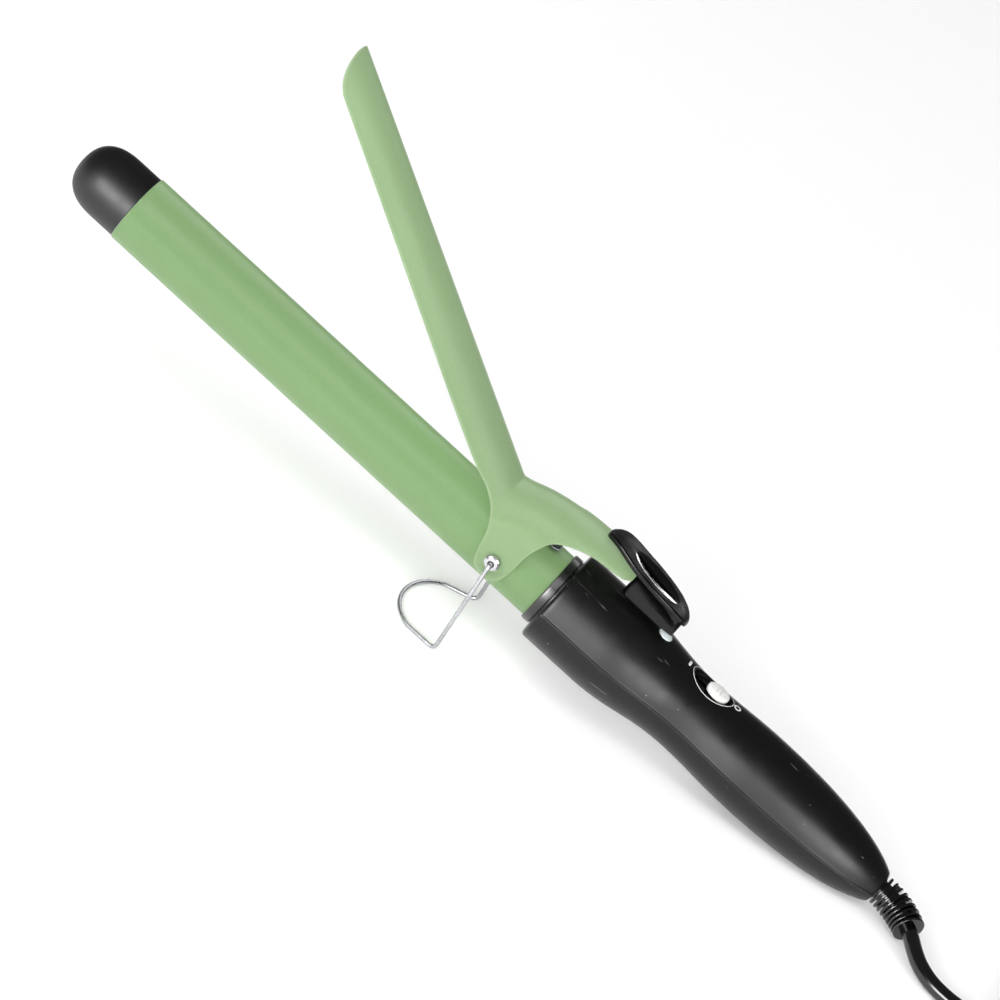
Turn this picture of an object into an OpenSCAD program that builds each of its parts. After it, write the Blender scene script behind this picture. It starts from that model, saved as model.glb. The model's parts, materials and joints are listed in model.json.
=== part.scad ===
// Curling iron: a heated barrel with a spring clamp, a folding wire stand and a two-shell handle.
// All dimensions are in millimetres. The iron rests on its stand's foot and on the tail of its handle.

/* [Barrel] */
// Outside diameter of the heated barrel
barrel_d = 25; // [22:0.5:31]
// Length of barrel that shows between the tip cap and the collar
barrel_len = 181; // [150:1:220]
// Wall of the barrel tube
barrel_wall = 1; // [0.8:0.1:1.4]
// Length of the tip cap outside the barrel
cap_len = 23.5; // [16:0.5:32]
// Step from the barrel's surface in to the cap's surface
cap_step = 0.4; // [0.2:0.1:0.8]

/* [Clamp] */
// Distance from the handle's front face to the clamp's pivot
pivot_back = 24; // [22:0.5:30]
// Length of the clamp's blade from its pivot
blade_len = 170; // [140:1:180]
// Angle of the open clamp, on its stop
open_angle = 30.4; // [22:0.2:34]
// Half of the arc that the blade covers around the barrel
blade_arc = 64.5; // [50:0.5:75]
// Thickness of the clamp's sheet metal
sheet = 0.8; // [0.6:0.1:1]
// Radius of the clamp's round ears
ear_r = 6.4; // [5:0.1:7]
// Length of the thumb rest's pad
pad_len = 38.5; // [30:0.5:44]
// Width of the thumb rest's pad
pad_w = 15; // [12:0.5:20]
// Thickness of the thumb rest's pad at its rim
pad_t = 3; // [2.4:0.1:4]

/* [Stand] */
// Diameter of the stand's wire
wire_d = 1.5; // [1.2:0.1:2]
// Drop from the pivot to the stand's foot, square to the barrel
stand_drop = 34.4; // [30:0.2:42]
// Room between the folded foot's loop and the underside of the handle's shoulder
foot_room = 3.3; // [2.6:0.1:6]

/* [Handle] */
// Length of the handle
handle_len = 140; // [126:1:170]
// Height of the handle's shoulder above the barrel's surface
handle_flare = 4.5; // [4:0.1:6]
// Radius of the handle's waist
waist_r = 13.5; // [12.5:0.1:15.5]
// Radius of the handle's belly
belly_r = 14.5; // [13.5:0.1:16.5]
// Radius of the handle's tail end
tail_r = 5.8; // [5.4:0.1:7]
// Wall of the handle's shells
shell_wall = 2.2; // [1.8:0.1:2.6]

/* [Switch] */
// Length of the switch's recess
recess_len = 16; // [14:0.5:18]
// Width of the switch's recess
recess_w = 10; // [9:0.5:12]
// Travel of the switch's slider
slider_travel = 5; // [3:0.5:6]
// Diameter of the indicator's lens
lens_d = 5; // [4:0.5:6]

/* [Cord] */
// Diameter of the mains cord
cord_d = 5.5; // [4.8:0.1:6]
// Length of the ribbed strain relief, along its bend
relief_len = 20; // [16:1:24]

/* [Hidden] */
$fn = 72;
EPS = 0.01;
gap = 0.3;            // clearance between pieces that move past each other
run_fit = 0.05;       // radial clearance of a pin in its bore

barrel_r = barrel_d / 2;
bore_r = barrel_r - barrel_wall;
pivot_x = -pivot_back;
collar_len = 3.5;
collar_neck = 2.4;
collar_r = barrel_r + 1;
neck_r = barrel_r + 0.5;
seam_x = -collar_neck - collar_len - barrel_len;
barrel_inside = 14;   // length of barrel held inside the handle
cap_straight = 8.9;    // straight part of the cap, before its dome
cap_r = barrel_r - cap_step;

shell_r = barrel_r + gap + sheet / 2;   // middle of the clamp's sheet over the barrel
shoulder_r = barrel_r + handle_flare;
shoulder_end = 20;
waist_x = 57;
belly_x = 84;
front_round = 1.2;
front_wall = 2.4;
tail_wall_x = handle_len - 6;

rivet_r = 1.6;
rivet_head_r = 2.8;
wire_r = wire_d / 2;
wire_bore_r = wire_r + run_fit;
ear_out = barrel_r + gap + sheet;
rivet_head_y = ear_out + gap;
rivet_face_y = rivet_head_y + 2.1;

// ---- small functions ----

function unit(v) = v / norm(v);
function mid(a, b, t) = a + (b - a) * t;
function ease(t) = (1 - cos(180 * t)) / 2;
// A point in x and z after a turn about +Y
function turned(p, a) = [p[0] * cos(a) + p[1] * sin(a), p[1] * cos(a) - p[0] * sin(a)];
function quad_curve(a, b, c, t) = mid(mid(a, b, t), mid(b, c, t), t);

// ---- outlines ----

// Radius of the handle at a distance x behind its front face
function handle_r(x) =
    x < front_round ? shoulder_r - front_round + sqrt(pow(front_round, 2) - pow(front_round - x, 2)) :
    x < shoulder_end ? shoulder_r :
    x < waist_x ? mid(shoulder_r, waist_r, ease((x - shoulder_end) / (waist_x - shoulder_end))) :
    x < belly_x ? mid(waist_r, belly_r, ease((x - waist_x) / (belly_x - waist_x))) :
    tail_curve((x - belly_x) / (handle_len - belly_x));

// Falls from the belly to the tail's end as a full, rounded taper
function tail_curve(u) = belly_r * sqrt(1 - (1 - pow(tail_r / belly_r, 2)) * pow(u, 2.3));

handle_xs = [
    0, 0.15, 0.5, front_round, for (i = [0:9]) mid(shoulder_end, waist_x, i / 9),
    for (i = [1:6]) mid(waist_x, belly_x, i / 6),
    for (i = [1:14]) mid(belly_x, handle_len, sin(90 * i / 14))
];
cavity_xs = [for (x = handle_xs) if (x > front_wall && x < tail_wall_x - 1) x];
function cavity_r(x) = handle_r(x) - shell_wall;

// Profile of the cap's dome, as radius and x
cap_dome = [
    for (i = [0:14])
        let (a = 90 * i / 14, along = pow(sin(a), 2 / 2.5), across = pow(cos(a), 2 / 2.5))
            [cap_r * (i == 14 ? 0 : across), seam_x - cap_straight - (cap_len - cap_straight) * along]
];

// ---- how the iron rests ----

foot_x = pivot_x + 5;             // rear corners of the foot, where the legs bend
foot_z = -stand_drop;
foot_depth = shoulder_r + foot_room;
// Slope of the plane that touches the foot's wire and a point on the underside of the handle
function rest_slope(x) =
    let (dx = x - foot_x, dz = -handle_r(x) - foot_z)
        atan2(dz, dx) + asin(wire_r / norm([dx, dz]));
tilt = min([for (x = handle_xs) rest_slope(x)]);
lift = wire_r + foot_x * sin(tilt) - foot_z * cos(tilt);
front_reach = min([for (p = cap_dome) p[1] * cos(tilt) - p[0] * sin(tilt)]);
rear_reach = max([for (x = handle_xs) x * cos(tilt) + handle_r(x) * sin(tilt)]);
shift_x = -(front_reach + rear_reach) / 2;

// From the iron's own axes, with the barrel along x, to the resting pose
module place() {
    translate([shift_x, 0, lift]) rotate([0, tilt, 0]) children();
}

// ---- small modules ----

module rod_x(x0, x1, r) {
    translate([x0, 0, 0]) rotate([0, 90, 0]) cylinder(h = x1 - x0, r = r);
}

module rod_y(y0, y1, r) {
    translate([0, y1, 0]) rotate([90, 0, 0]) cylinder(h = y1 - y0, r = r);
}

// Turns an outline of radius and x about the barrel's axis
module revolve(outline) {
    rotate([0, 90, 0]) rotate_extrude() polygon(outline);
}

module block(x, y, z) {
    translate([x[0], y[0], z[0]]) cube([x[1] - x[0], y[1] - y[0], z[1] - z[0]]);
}

// Copies a piece to the other side of the iron's middle plane
module both_sides() {
    children();
    mirror([0, 1, 0]) children();
}

// An oval prism that stands along z
module oval(len, wid, h) {
    linear_extrude(h) polygon([for (i = [0:35]) [len / 2 * cos(10 * i), wid / 2 * sin(10 * i)]]);
}

// A closed tube of flat-sided rings along a list of points. up is never parallel to the path.
module tube(path, r, sides = 10, up = [0, 0, 1]) {
    n = len(path);
    along = [for (i = [0:n - 1]) unit(path[min(i + 1, n - 1)] - path[max(i - 1, 0)])];
    rings = [
        for (i = [0:n - 1])
            let (a = unit(up - (up * along[i]) * along[i]), b = cross(along[i], a))
                for (k = [0:sides - 1])
                    let (turn = 360 * k / sides) path[i] + r * (a * cos(turn) + b * sin(turn))
    ];
    skin = [
        for (i = [0:n - 2], k = [0:sides - 1])
            let (m = (k + 1) % sides, p = i * sides, q = p + sides)
                each [[p + k, p + m, q + k], [p + m, q + m, q + k]]
    ];
    ends = [[for (k = [sides - 1:-1:0]) k], [for (k = [0:sides - 1]) (n - 1) * sides + k]];
    // Each face is turned round, so that it runs clockwise as seen from outside
    faces = [for (f = concat(skin, ends)) [for (k = [len(f) - 1:-1:0]) f[k]]];
    polyhedron(rings, faces, convexity = 6);
}

// ---- barrel and heater ----

heater_x = seam_x + 22;
heater_end = pivot_x - 28.7;
plate_w = 12;
plate_t = 2.2;
strip_t = 0.4;
film_t = 0.3;
stack_half = plate_t / 2 + strip_t;
lead_r = 0.8;
lead_y = 3;

module barrel_tube() {
    color("darkseagreen") place() difference() {
        rod_x(seam_x, barrel_inside, barrel_r);
        rod_x(seam_x - 1, barrel_inside + 1, bore_r);
        translate([pivot_x, 0, 0]) rod_y(-barrel_r - 1, barrel_r + 1, rivet_r);
    }
}

module tip_cap() {
    spigot = 8;
    color("#1b1b1d") place() revolve(concat(
        [[0, seam_x + spigot], [bore_r, seam_x + spigot], [bore_r, seam_x], [cap_r, seam_x]],
        cap_dome
    ));
}

// One of the two half-round blocks that carry the heat from the plates to the barrel
module heater_shoe() {
    intersection() {
        rod_x(heater_x, heater_end, bore_r - 0.05);
        block([heater_x - 1, heater_end + 1], [-bore_r, bore_r], [stack_half + film_t, bore_r]);
    }
}

module heater_shoe_upper() {
    color("silver") place() heater_shoe();
}

module heater_shoe_lower() {
    color("silver") place() mirror([0, 0, 1]) heater_shoe();
}

module ptc_plates() {
    count = 4;
    pitch = (heater_end - heater_x) / count;
    color("#7d6f66") place() for (i = [0:count - 1])
        block([heater_x + i * pitch + 1, heater_x + (i + 1) * pitch - 1],
            [-plate_w / 2, plate_w / 2], [-plate_t / 2, plate_t / 2]);
}

module electrode_strips() {
    color("silver") place() for (s = [0, 1]) mirror([0, 0, s])
        block(
            [heater_x, heater_end + 6], [-plate_w / 2 + 1, plate_w / 2 - 1], [plate_t / 2, stack_half]
        );
}

module heater_film() {
    w = plate_w / 2 + 0.2;
    color("#b5762a") place() difference() {
        block(
            [heater_x, heater_end], [-w - film_t, w + film_t],
            [-stack_half - film_t, stack_half + film_t]
        );
        block([heater_x - 1, heater_end + 1], [-w, w], [-stack_half, stack_half]);
    }
}

fuse_x = heater_end + 14;
fuse_len = 11;
fuse_r = 2;

module thermal_fuse() {
    color("gainsboro") place() translate([0, -lead_y, 0]) rod_x(fuse_x, fuse_x + fuse_len, fuse_r);
}

// The two insulated leads from the electrodes to the handle, one of them through the fuse
module heater_leads() {
    start = heater_end + 6;
    end = barrel_inside + 4;
    color("white") place() {
        translate([0, lead_y, 0]) rod_x(start, end, lead_r);
        translate([0, -lead_y, 0]) rod_x(start, fuse_x, lead_r);
        translate([0, -lead_y, 0]) rod_x(fuse_x + fuse_len, end, lead_r);
    }
}

module barrel_collar() {
    ring_x = -collar_neck - collar_len;
    edge = 0.5;
    flange_r = shoulder_r - shell_wall;
    color("#141415") place() revolve([
        [barrel_r, ring_x], [collar_r - edge, ring_x], [collar_r - 0.15, ring_x + 0.15],
        [collar_r, ring_x + edge], [collar_r, -collar_neck - edge],
        [collar_r - 0.15, -collar_neck - 0.15], [collar_r - edge, -collar_neck], [neck_r, -collar_neck],
        [neck_r, front_wall], [flange_r, front_wall], [flange_r, front_wall + 2],
        [barrel_r, front_wall + 2]
    ]);
}

module barrel_bush() {
    color("#8a5a32") place() difference() {
        rod_x(front_wall + 2, barrel_inside, shoulder_r - shell_wall);
        rod_x(front_wall, barrel_inside + 1, barrel_r);
    }
}

// Two hollow rivets: each carries an ear of the clamp and an end of the stand's wire
module pivot_rivets() {
    tail_y = bore_r - 1.3;
    color("lightgray") place() translate([pivot_x, 0, 0]) both_sides() difference() {
        union() {
            rod_y(tail_y + 1, rivet_head_y + EPS, rivet_r);
            rod_y(tail_y, tail_y + 1, rivet_r + 0.8);
            rod_y(rivet_head_y, rivet_face_y, rivet_head_r);
        }
        rod_y(bore_r - 1, rivet_face_y + 1, wire_bore_r);
    }
}

// ---- clamp ----

// Each station across the clamp's sheet is [crown, lower edge, half width, height of its arch].
// Crown and edge are x and z from the pivot, with the clamp open.
function blade_station(d, arc) =
    [turned([-d, shell_r], open_angle), turned([-d, shell_r * cos(arc)], open_angle), shell_r, shell_r];

// The blade's arch narrows a little from the pivot to the tip
tip_narrowing = 6;
function arc_at(d) = blade_arc - tip_narrowing * max(0, d - 55) / (blade_len - 55);

tip_round = 12.5;
tip_stations = [
    for (i = [1:6])
        let (a = 15 * i, d = blade_len - tip_round * (1 - cos(a)))
            blade_station(d, arc_at(d) * sin(a))
];
valley_d = 21;        // where the blade's crown turns up into the arm
blade_stations = [
    for (d = [130, 100, 70, 45]) blade_station(d, arc_at(d)),
    blade_station(31, blade_arc - 1), blade_station(25, blade_arc - 4)
];
valley = turned([-valley_d, shell_r], open_angle);

// Crown from the valley, then the lower edge: x from the pivot, z in shell radii
saddle = [
    [0, 0, -13.3, 1.14], [1.2, 0, -11, 0.95], [2.5, 0.3, -8.9, 0.7], [4.2, 0.8, -7.1, 0.35],
    [7, 1.9, -4.5, 0.1], [10.5, 3.1, -0.5, 0], [14, 4, 3.4, 0.15], [17, 4.6, 5.4, 0.55],
    [20, 5.1, 6.8, 1]
];
saddle_stations = [
    for (s = saddle) [valley + [s[0], s[1]], [s[2], s[3] * shell_r], shell_r, shell_r]
];

// Crown from the valley, lower edge from the crown, narrowing of the half width, height of the arch
arm = [
    [23.5, 5.5, -1.8, -8.2, 0.6, 9.5], [28.5, 5.8, -1, -5.3, 2, 6.2], [34.5, 5.8, -0.5, -3.5, 3, 4.3],
    [40.5, 5.6, -0.2, -2.8, 3.7, 3.3], [45.5, 5.1, 0, -2.3, 5, 2.7], [48.5, 4.6, 0, -1.7, 8, 2]
];
arm_stations = [
    for (s = arm)
        let (crown = valley + [s[0], s[1]]) [crown, crown + [s[2], s[3]], shell_r - s[4], s[5]]
];
stations = concat(tip_stations, blade_stations, saddle_stations, arm_stations);
arm_end = arm_stations[len(arm) - 2][0];

// A point across a station: t runs from 0 at the crown to 1 at the edge; out is the offset from
// the middle of the sheet
function across_station(s, t, out) =
    let (
        h = norm(s[0] - s[1]),
        up = (s[0] - s[1]) / h,
        arch = s[3],
        leg = max(h - arch, 0),
        arc = acos(max(1 - h / arch, 0)),
        arc_len = s[2] * arc * PI / 180,
        along = t * (arc_len + leg),
        a = min(along / arc_len, 1) * arc,
        y = (s[2] + out) * sin(a),
        z = (arch + out) * cos(a) - arch - max(along - arc_len, 0),
        p = s[0] + up * z
    ) [p[0], y, p[1]];

// The point, or its mirror image where side is below zero
function on_side(side, p) = [p[0], sign(side) * p[1], p[2]];

module clamp_sheet() {
    half = 8;
    ring = 4 * half + 2;
    outer = [for (k = [-half:half]) k / half];
    points = [
        for (s = stations) each concat(
            [for (t = outer) on_side(t, across_station(s, abs(t), sheet / 2))],
            [for (k = [half:-1:-half]) on_side(k, across_station(s, abs(k / half), -sheet / 2))]
        )
    ];
    n = len(stations);
    skin = [
        for (i = [0:n - 2], k = [0:ring - 1])
            let (m = (k + 1) % ring, p = i * ring, q = p + ring)
                each [[p + k, p + m, q + k], [p + m, q + m, q + k]]
    ];
    end = (n - 1) * ring;
    caps = [
        for (k = [0:2 * half - 1])
            let (m = ring - 1 - k)
                each [
                    [k, m, k + 1], [k + 1, m, m - 1],
                    [end + k, end + k + 1, end + m], [end + k + 1, end + m - 1, end + m]
                ]
    ];
    polyhedron(points, concat(skin, caps), convexity = 8);
}

module clamp_lever() {
    ear_t = sheet - 0.16;
    ear_y = barrel_r + gap + 0.08;
    color("darkseagreen") place() translate([pivot_x, 0, 0]) difference() {
        union() {
            clamp_sheet();
            both_sides() rod_y(ear_y, ear_y + ear_t, ear_r);
        }
        rod_y(-ear_out - 1, ear_out + 1, rivet_r + run_fit);
    }
}

// Thumb rest: its pad lies on the arm, and its web stops against the handle
pad_slope = 6.5;
pad_front = arm_end[0] - 12.7;      // from the pivot
web_w = 7.5;
web_front = arm_end[0] + 2;
web_len = 22;
stop_gap = 0.4;
web_foot = shoulder_r + stop_gap;
pad_seat = [arm_end[0] - 5, arm_end[1] + sheet / 2 + 0.2];

module pad_frame() {
    translate([pad_seat[0], 0, pad_seat[1]]) rotate([0, pad_slope, 0]) children();
}

module thumb_rest() {
    dish_r = 62;
    dish_depth = 1.1;
    reach = pad_seat[0] - pad_front;
    color("#101011") place() translate([pivot_x, 0, 0]) difference() {
        union() {
            pad_frame() translate([pad_len / 2 - reach, 0, 0]) oval(pad_len, pad_w, pad_t);
            difference() {
                block(
                    [web_front, web_front + web_len], [-web_w / 2, web_w / 2],
                    [web_foot, arm_end[1] + 2]
                );
                pad_frame() block([-pad_len, 2 * pad_len], [-pad_w, pad_w], [pad_t / 2, pad_w]);
            }
        }
        pad_frame() translate([pad_len / 2 - reach + 3, 0, pad_t - dish_depth + dish_r])
            sphere(r = dish_r, $fn = 180);
        translate([pad_seat[0], 0, pad_seat[1] - 1]) cylinder(h = 2.8, r = 1);
    }
}

module thumb_rest_screw() {
    head_z = arm_end[1] - sheet / 2 - 1.6;
    color("silver") place() translate([pivot_x + pad_seat[0], 0, 0]) {
        translate([0, 0, head_z]) cylinder(h = 1.4, r = 1.9);
        translate([0, 0, head_z + 1.3]) cylinder(h = pad_seat[1] + 1.7 - head_z - 1.3, r = 1);
    }
}

// Leaf spring: riveted under the arm, its free end bears on the barrel's crown
leaf_w = 7;
leaf_t = 0.5;
leaf_root = arm_end + [-11, -sheet / 2 - 0.3];
leaf_tip = [10.2, barrel_r + gap + leaf_t];

module clamp_spring() {
    toe = leaf_tip + [3, 1.6];
    shin = leaf_tip + [-4, 6];
    bend = [leaf_tip[0] - 4.5, leaf_root[1] + 0.3];
    line = [
        for (i = [0:12]) quad_curve(toe, leaf_tip - [1.5, 1], shin, i / 12),
        for (i = [1:10]) quad_curve(shin, bend, leaf_root, i / 10)
    ];
    last = len(line) - 1;
    side = [
        for (i = [last:-1:0])
            let (run = unit(line[min(i + 1, last)] - line[max(i - 1, 0)]))
                line[i] + leaf_t * [-run[1], run[0]]
    ];
    color("#6f7276") place() translate([pivot_x, leaf_w / 2, 0]) rotate([90, 0, 0])
        linear_extrude(leaf_w) polygon(concat(line, side));
}

module spring_rivet() {
    color("silver") place() translate([pivot_x + leaf_root[0] - 2.5, 0, leaf_root[1] - 0.8])
        cylinder(h = 0.8, r = 1.6);
}

// ---- wire stand ----

hip_y = rivet_face_y + 1.2;
foot_half = shoulder_r + 4.4;      // stays clear of the handle when folded
bend_r = 2.5;

// The foot's loop, level with the table: a runs from 90 at one corner to -90 at the other
function foot_point(a) =
    let (d = foot_depth * pow(cos(a), 2 / 2.3))
        [foot_x - d * cos(tilt), foot_half * sin(a), foot_z - d * sin(tilt)];

module wire_stand() {
    hip = [pivot_x, hip_y, 0];
    corner = foot_point(90);
    leg = unit(corner - hip);
    forward = unit([-cos(tilt), 0, -sin(tilt)]);
    half = concat(
        [hip, mid(hip, corner, 0.5)],
        [for (i = [0:4]) quad_curve(corner - leg * bend_r, corner, corner + forward * bend_r, i / 4)],
        [for (a = [58:-7:2]) foot_point(a)]
    );
    far_half = [for (i = [len(half) - 2:-1:0]) [half[i][0], -half[i][1], half[i][2]]];
    path = concat(half, [foot_point(-5)], far_half);
    color("silver") place() {
        tube(path, wire_r, 10, [1, 0, -1]);
        translate([pivot_x, 0, 0]) both_sides() {
            rod_y(bore_r, hip_y, wire_r);
            translate([0, hip_y, 0]) sphere(r = wire_r + 0.08);
        }
    }
}

// ---- handle ----

screw_xs = [24, handle_len - 50.4];
head_depth = 6;       // from the axis down to where the screws' heads seat
boss_r = 3;
screw_r = 1.3;
screw_head_r = 2.6;
recess_x = waist_x - 1;
recess_floor = waist_r - 1.6;
lens_x = 34;
lens_seat = handle_r(lens_x) - 1;
stem_w = 3;
relief_neck_r = 4.2;

module handle_solid() {
    revolve(concat([[0, 0]], [for (x = handle_xs) [handle_r(x), x]], [[0, handle_len]]));
}

module handle_cavity() {
    revolve(concat(
        [[0, front_wall], [cavity_r(shoulder_end), front_wall]],
        [for (x = cavity_xs) [cavity_r(x), x]],
        [[cavity_r(tail_wall_x), tail_wall_x], [0, tail_wall_x]]
    ));
}

module handle_shell() {
    difference() {
        handle_solid();
        handle_cavity();
        rod_x(-1, front_wall + 1, neck_r);
        rod_x(tail_wall_x - 1, handle_len + 1, relief_neck_r);
    }
}

module upper_half() {
    block([-1, handle_len + 1], [-shoulder_r - 1, shoulder_r + 1], [0, shoulder_r + 1]);
}

module handle_upper_shell() {
    slot_half = (slider_travel + stem_w + 1.4) / 2;
    color("#161617") place() difference() {
        union() {
            intersection() {
                handle_shell();
                upper_half();
            }
            for (x = screw_xs) intersection() {
                translate([x, 0, 0]) cylinder(h = shoulder_r, r = boss_r);
                handle_solid();
                upper_half();
            }
            intersection() {
                translate([recess_x, 0, recess_floor - 1.4]) oval(recess_len + 4, recess_w + 3, 4);
                handle_solid();
            }
        }
        translate([recess_x, 0, recess_floor]) oval(recess_len, recess_w, 10);
        block([recess_x - slot_half, recess_x + slot_half], [-1.4, 1.4], [0.5, recess_floor + 1]);
        translate([lens_x, 0, 5]) cylinder(h = 20, r = lens_d / 2);
        for (x = screw_xs) translate([x, 0, -1]) cylinder(h = 10, r = screw_r);
    }
}

module handle_lower_shell() {
    color("#161617") place() difference() {
        union() {
            intersection() {
                handle_shell();
                mirror([0, 0, 1]) upper_half();
            }
            for (x = screw_xs) intersection() {
                translate([x, 0, -shoulder_r]) cylinder(h = shoulder_r, r = boss_r + 1);
                handle_solid();
            }
        }
        for (x = screw_xs) translate([x, 0, 0]) {
            translate([0, 0, -shoulder_r - 1]) cylinder(h = shoulder_r + 2, r = screw_r + 0.2);
            translate([0, 0, -shoulder_r - 1])
                cylinder(h = shoulder_r + 1 - head_depth, r = screw_head_r + 0.3);
        }
    }
}

module handle_screws() {
    color("silver") place() for (x = screw_xs) translate([x, 0, 0]) difference() {
        union() {
            translate([0, 0, -head_depth - 2]) cylinder(h = 2, r = screw_head_r);
            translate([0, 0, -head_depth - EPS]) cylinder(h = head_depth + 8, r = screw_r);
        }
        for (a = [0, 90]) rotate([0, 0, a]) translate([-1.5, -0.35, -head_depth - 3]) cube([3, 0.7, 2]);
    }
}

// ---- switch and lamp ----

slider_len = 8.5;
slider_w = 7;

module switch_slider() {
    rise = 1.1;
    base = recess_floor + gap;
    color("white") place() translate([recess_x + slider_travel / 2, 0, 0]) {
        translate([0, 0, base]) oval(slider_len, slider_w, waist_r + rise - base);
        block([-stem_w / 2, stem_w / 2], [-1.1, 1.1], [recess_floor - 2.2, recess_floor + 1]);
    }
}

switch_top = recess_floor - 2.6;
switch_h = 6;

module switch_body() {
    color("#303236") place()
        block([recess_x - 10, recess_x + 10], [-4, 4], [switch_top - switch_h, switch_top]);
}

module switch_terminals() {
    foot = switch_top - switch_h;
    color("goldenrod") place() for (x = [recess_x - 6, recess_x, recess_x + 6])
        block([x - 0.4, x + 0.4], [-1.2, 1.2], [foot - 3.5, foot]);
}

module lamp_lens() {
    color("white") place() translate([lens_x, 0, 0]) intersection() {
        translate([0, 0, lens_seat - 2.4]) cylinder(h = 4.2, r = lens_d / 2);
        translate([0, 0, lens_seat - 1.7]) sphere(r = 3.5);
    }
}

module indicator_lamp() {
    color("#f0a070") place() translate([lens_x, 0, lens_seat - 8.6]) cylinder(h = 6, r = 1.9);
}

module lamp_board() {
    top = lens_seat - 8.6;
    color("#c49a5a") place() {
        block([lens_x - 6.5, lens_x + 8], [-5, 5], [top - 1.6, top]);
        translate([lens_x, 3.6, top - 1.6 - 1.1]) rod_x(-4, 4, 1.1 + EPS);
    }
}

// ---- wiring ----

crimp_x = screw_xs[0] + 8;
clamp_x = handle_len - 30.8;
clamp_half = cavity_r(clamp_x) - 2.3;
clamp_screw_y = clamp_half - 2.8;
jacket_end = clamp_x - 8;
wire_out = 1.1;
wire_y = 5.8;

module crimp_caps() {
    color("#e6e2d8") place() both_sides() translate([0, wire_y, -4]) rod_x(crimp_x, crimp_x + 12, 2.2);
}

// Conductors from the cord's end to the crimps, clear of the screw bosses
module supply_wires() {
    color("#3b6fb0") place() both_sides() tube([
        [jacket_end, 1.3, 0], [jacket_end - 3.5, 3.4, -0.5], [jacket_end - 6.5, wire_y, -1.5],
        [jacket_end - 12, wire_y, -3], [jacket_end - 20, wire_y, -4], [crimp_x + 12, wire_y, -4]
    ], wire_out, 8);
}

module cord_clamp() {
    h = cord_d / 2;
    color("#232325") place() difference() {
        block([clamp_x - 3, clamp_x + 3], [-clamp_half, clamp_half], [0.2, h + 1.6]);
        rod_x(clamp_x - 4, clamp_x + 4, h);
        both_sides() translate([clamp_x, clamp_screw_y, -1]) cylinder(h = 10, r = 1.2);
    }
}

module cord_clamp_screws() {
    h = cord_d / 2 + 1.6;
    color("silver") place() both_sides() translate([clamp_x, clamp_screw_y, 0]) {
        translate([0, 0, -4]) cylinder(h = h + 4, r = 1.1);
        translate([0, 0, h]) cylinder(h = 1.4, r = 2.1);
    }
}

module cord_inner_end() {
    color("#0c0c0d") place() rod_x(jacket_end, tail_wall_x - 3.2, cord_d / 2);
}

// The boot leaves along the handle's axis and bends to one side, level with it
relief_bend = 46;
function relief_point(s) =
    let (r = relief_len / (relief_bend * PI / 180), a = relief_bend * s)
        [handle_len + r * sin(a), -r * (1 - cos(a)), 0];

module strain_relief() {
    ribs = 9;
    rib_t = 1.25;
    rib_r = 5.4;
    color("#0e0e0f") place() {
        rod_x(tail_wall_x - 3, tail_wall_x - 0.1, relief_neck_r + 1.4);
        rod_x(tail_wall_x - 1, handle_len + 0.4, relief_neck_r - 0.05);
        tube([for (i = [0:10]) relief_point(i / 10)], relief_neck_r - 0.5, 12);
        for (i = [0:ribs - 1])
            let (s = (i + 0.75) / ribs)
                translate(relief_point(s)) rotate([0, 0, -relief_bend * s])
                    rod_x(-rib_t / 2, rib_t / 2, rib_r + 0.3 * sin(180 * s));
    }
}

// ---- free cord, on the table ----

cord_r = cord_d / 2;
lead_route = [
    [190, -7.4, 5.8], [192.8, -10.6, 5.2], [195.1, -13.9, 4.6], [198.5, -18.2, 3.8], [203.5, -22, 3.2],
    [209.2, -24.3, 3], [215.5, -25.1, 3], [225, -25, 3], [235, -25, 3.2], [245, -25, 3.5],
    [255, -25, 3.5]
];
hank_x = [230, 357];
hank_mid = -3;
hank_half = 24.75;
tie_t = 0.8;
hank_top = tie_t + 16.5;
tail_route = [
    [332, -19.5, 14.5], [342, -19.5, 14], [352, -18.5, 12.5], [362, -16, 10], [372, -13.5, 7.6],
    [380, -13, 7]
];
plug_x = 380;
plug_y = -13;
plug_half_h = 7;

module cord_lead() {
    color("#0c0c0d") tube(lead_route, cord_r, 10);
}

module cord_hank() {
    color("#0c0c0d") translate([0, hank_mid, tie_t]) linear_extrude(hank_top - tie_t) {
        for (x = [hank_x[0] + hank_half, hank_x[1] - hank_half])
            translate([x, 0]) circle(r = hank_half);
        translate([hank_x[0] + hank_half, -hank_half])
            square([hank_x[1] - hank_x[0] - 2 * hank_half, 2 * hank_half]);
    }
}

module cord_tail() {
    color("#0c0c0d") tube(tail_route, cord_r, 10);
}

module cord_tie() {
    x = (hank_x[0] + hank_x[1]) / 2;
    outer = hank_half + tie_t;
    color("#2c2c2e") translate([0, hank_mid, 0]) difference() {
        block([x - 5, x + 5], [-outer, outer], [0, hank_top + tie_t]);
        block([x - 6, x + 6], [-hank_half, hank_half], [tie_t, hank_top]);
    }
}

pin_r = 2;
pin_root_r = 1.6;
pin_root_len = 8;
pin_len = 19;
pin_spacing = 18.6;
plug_len = 36;

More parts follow.
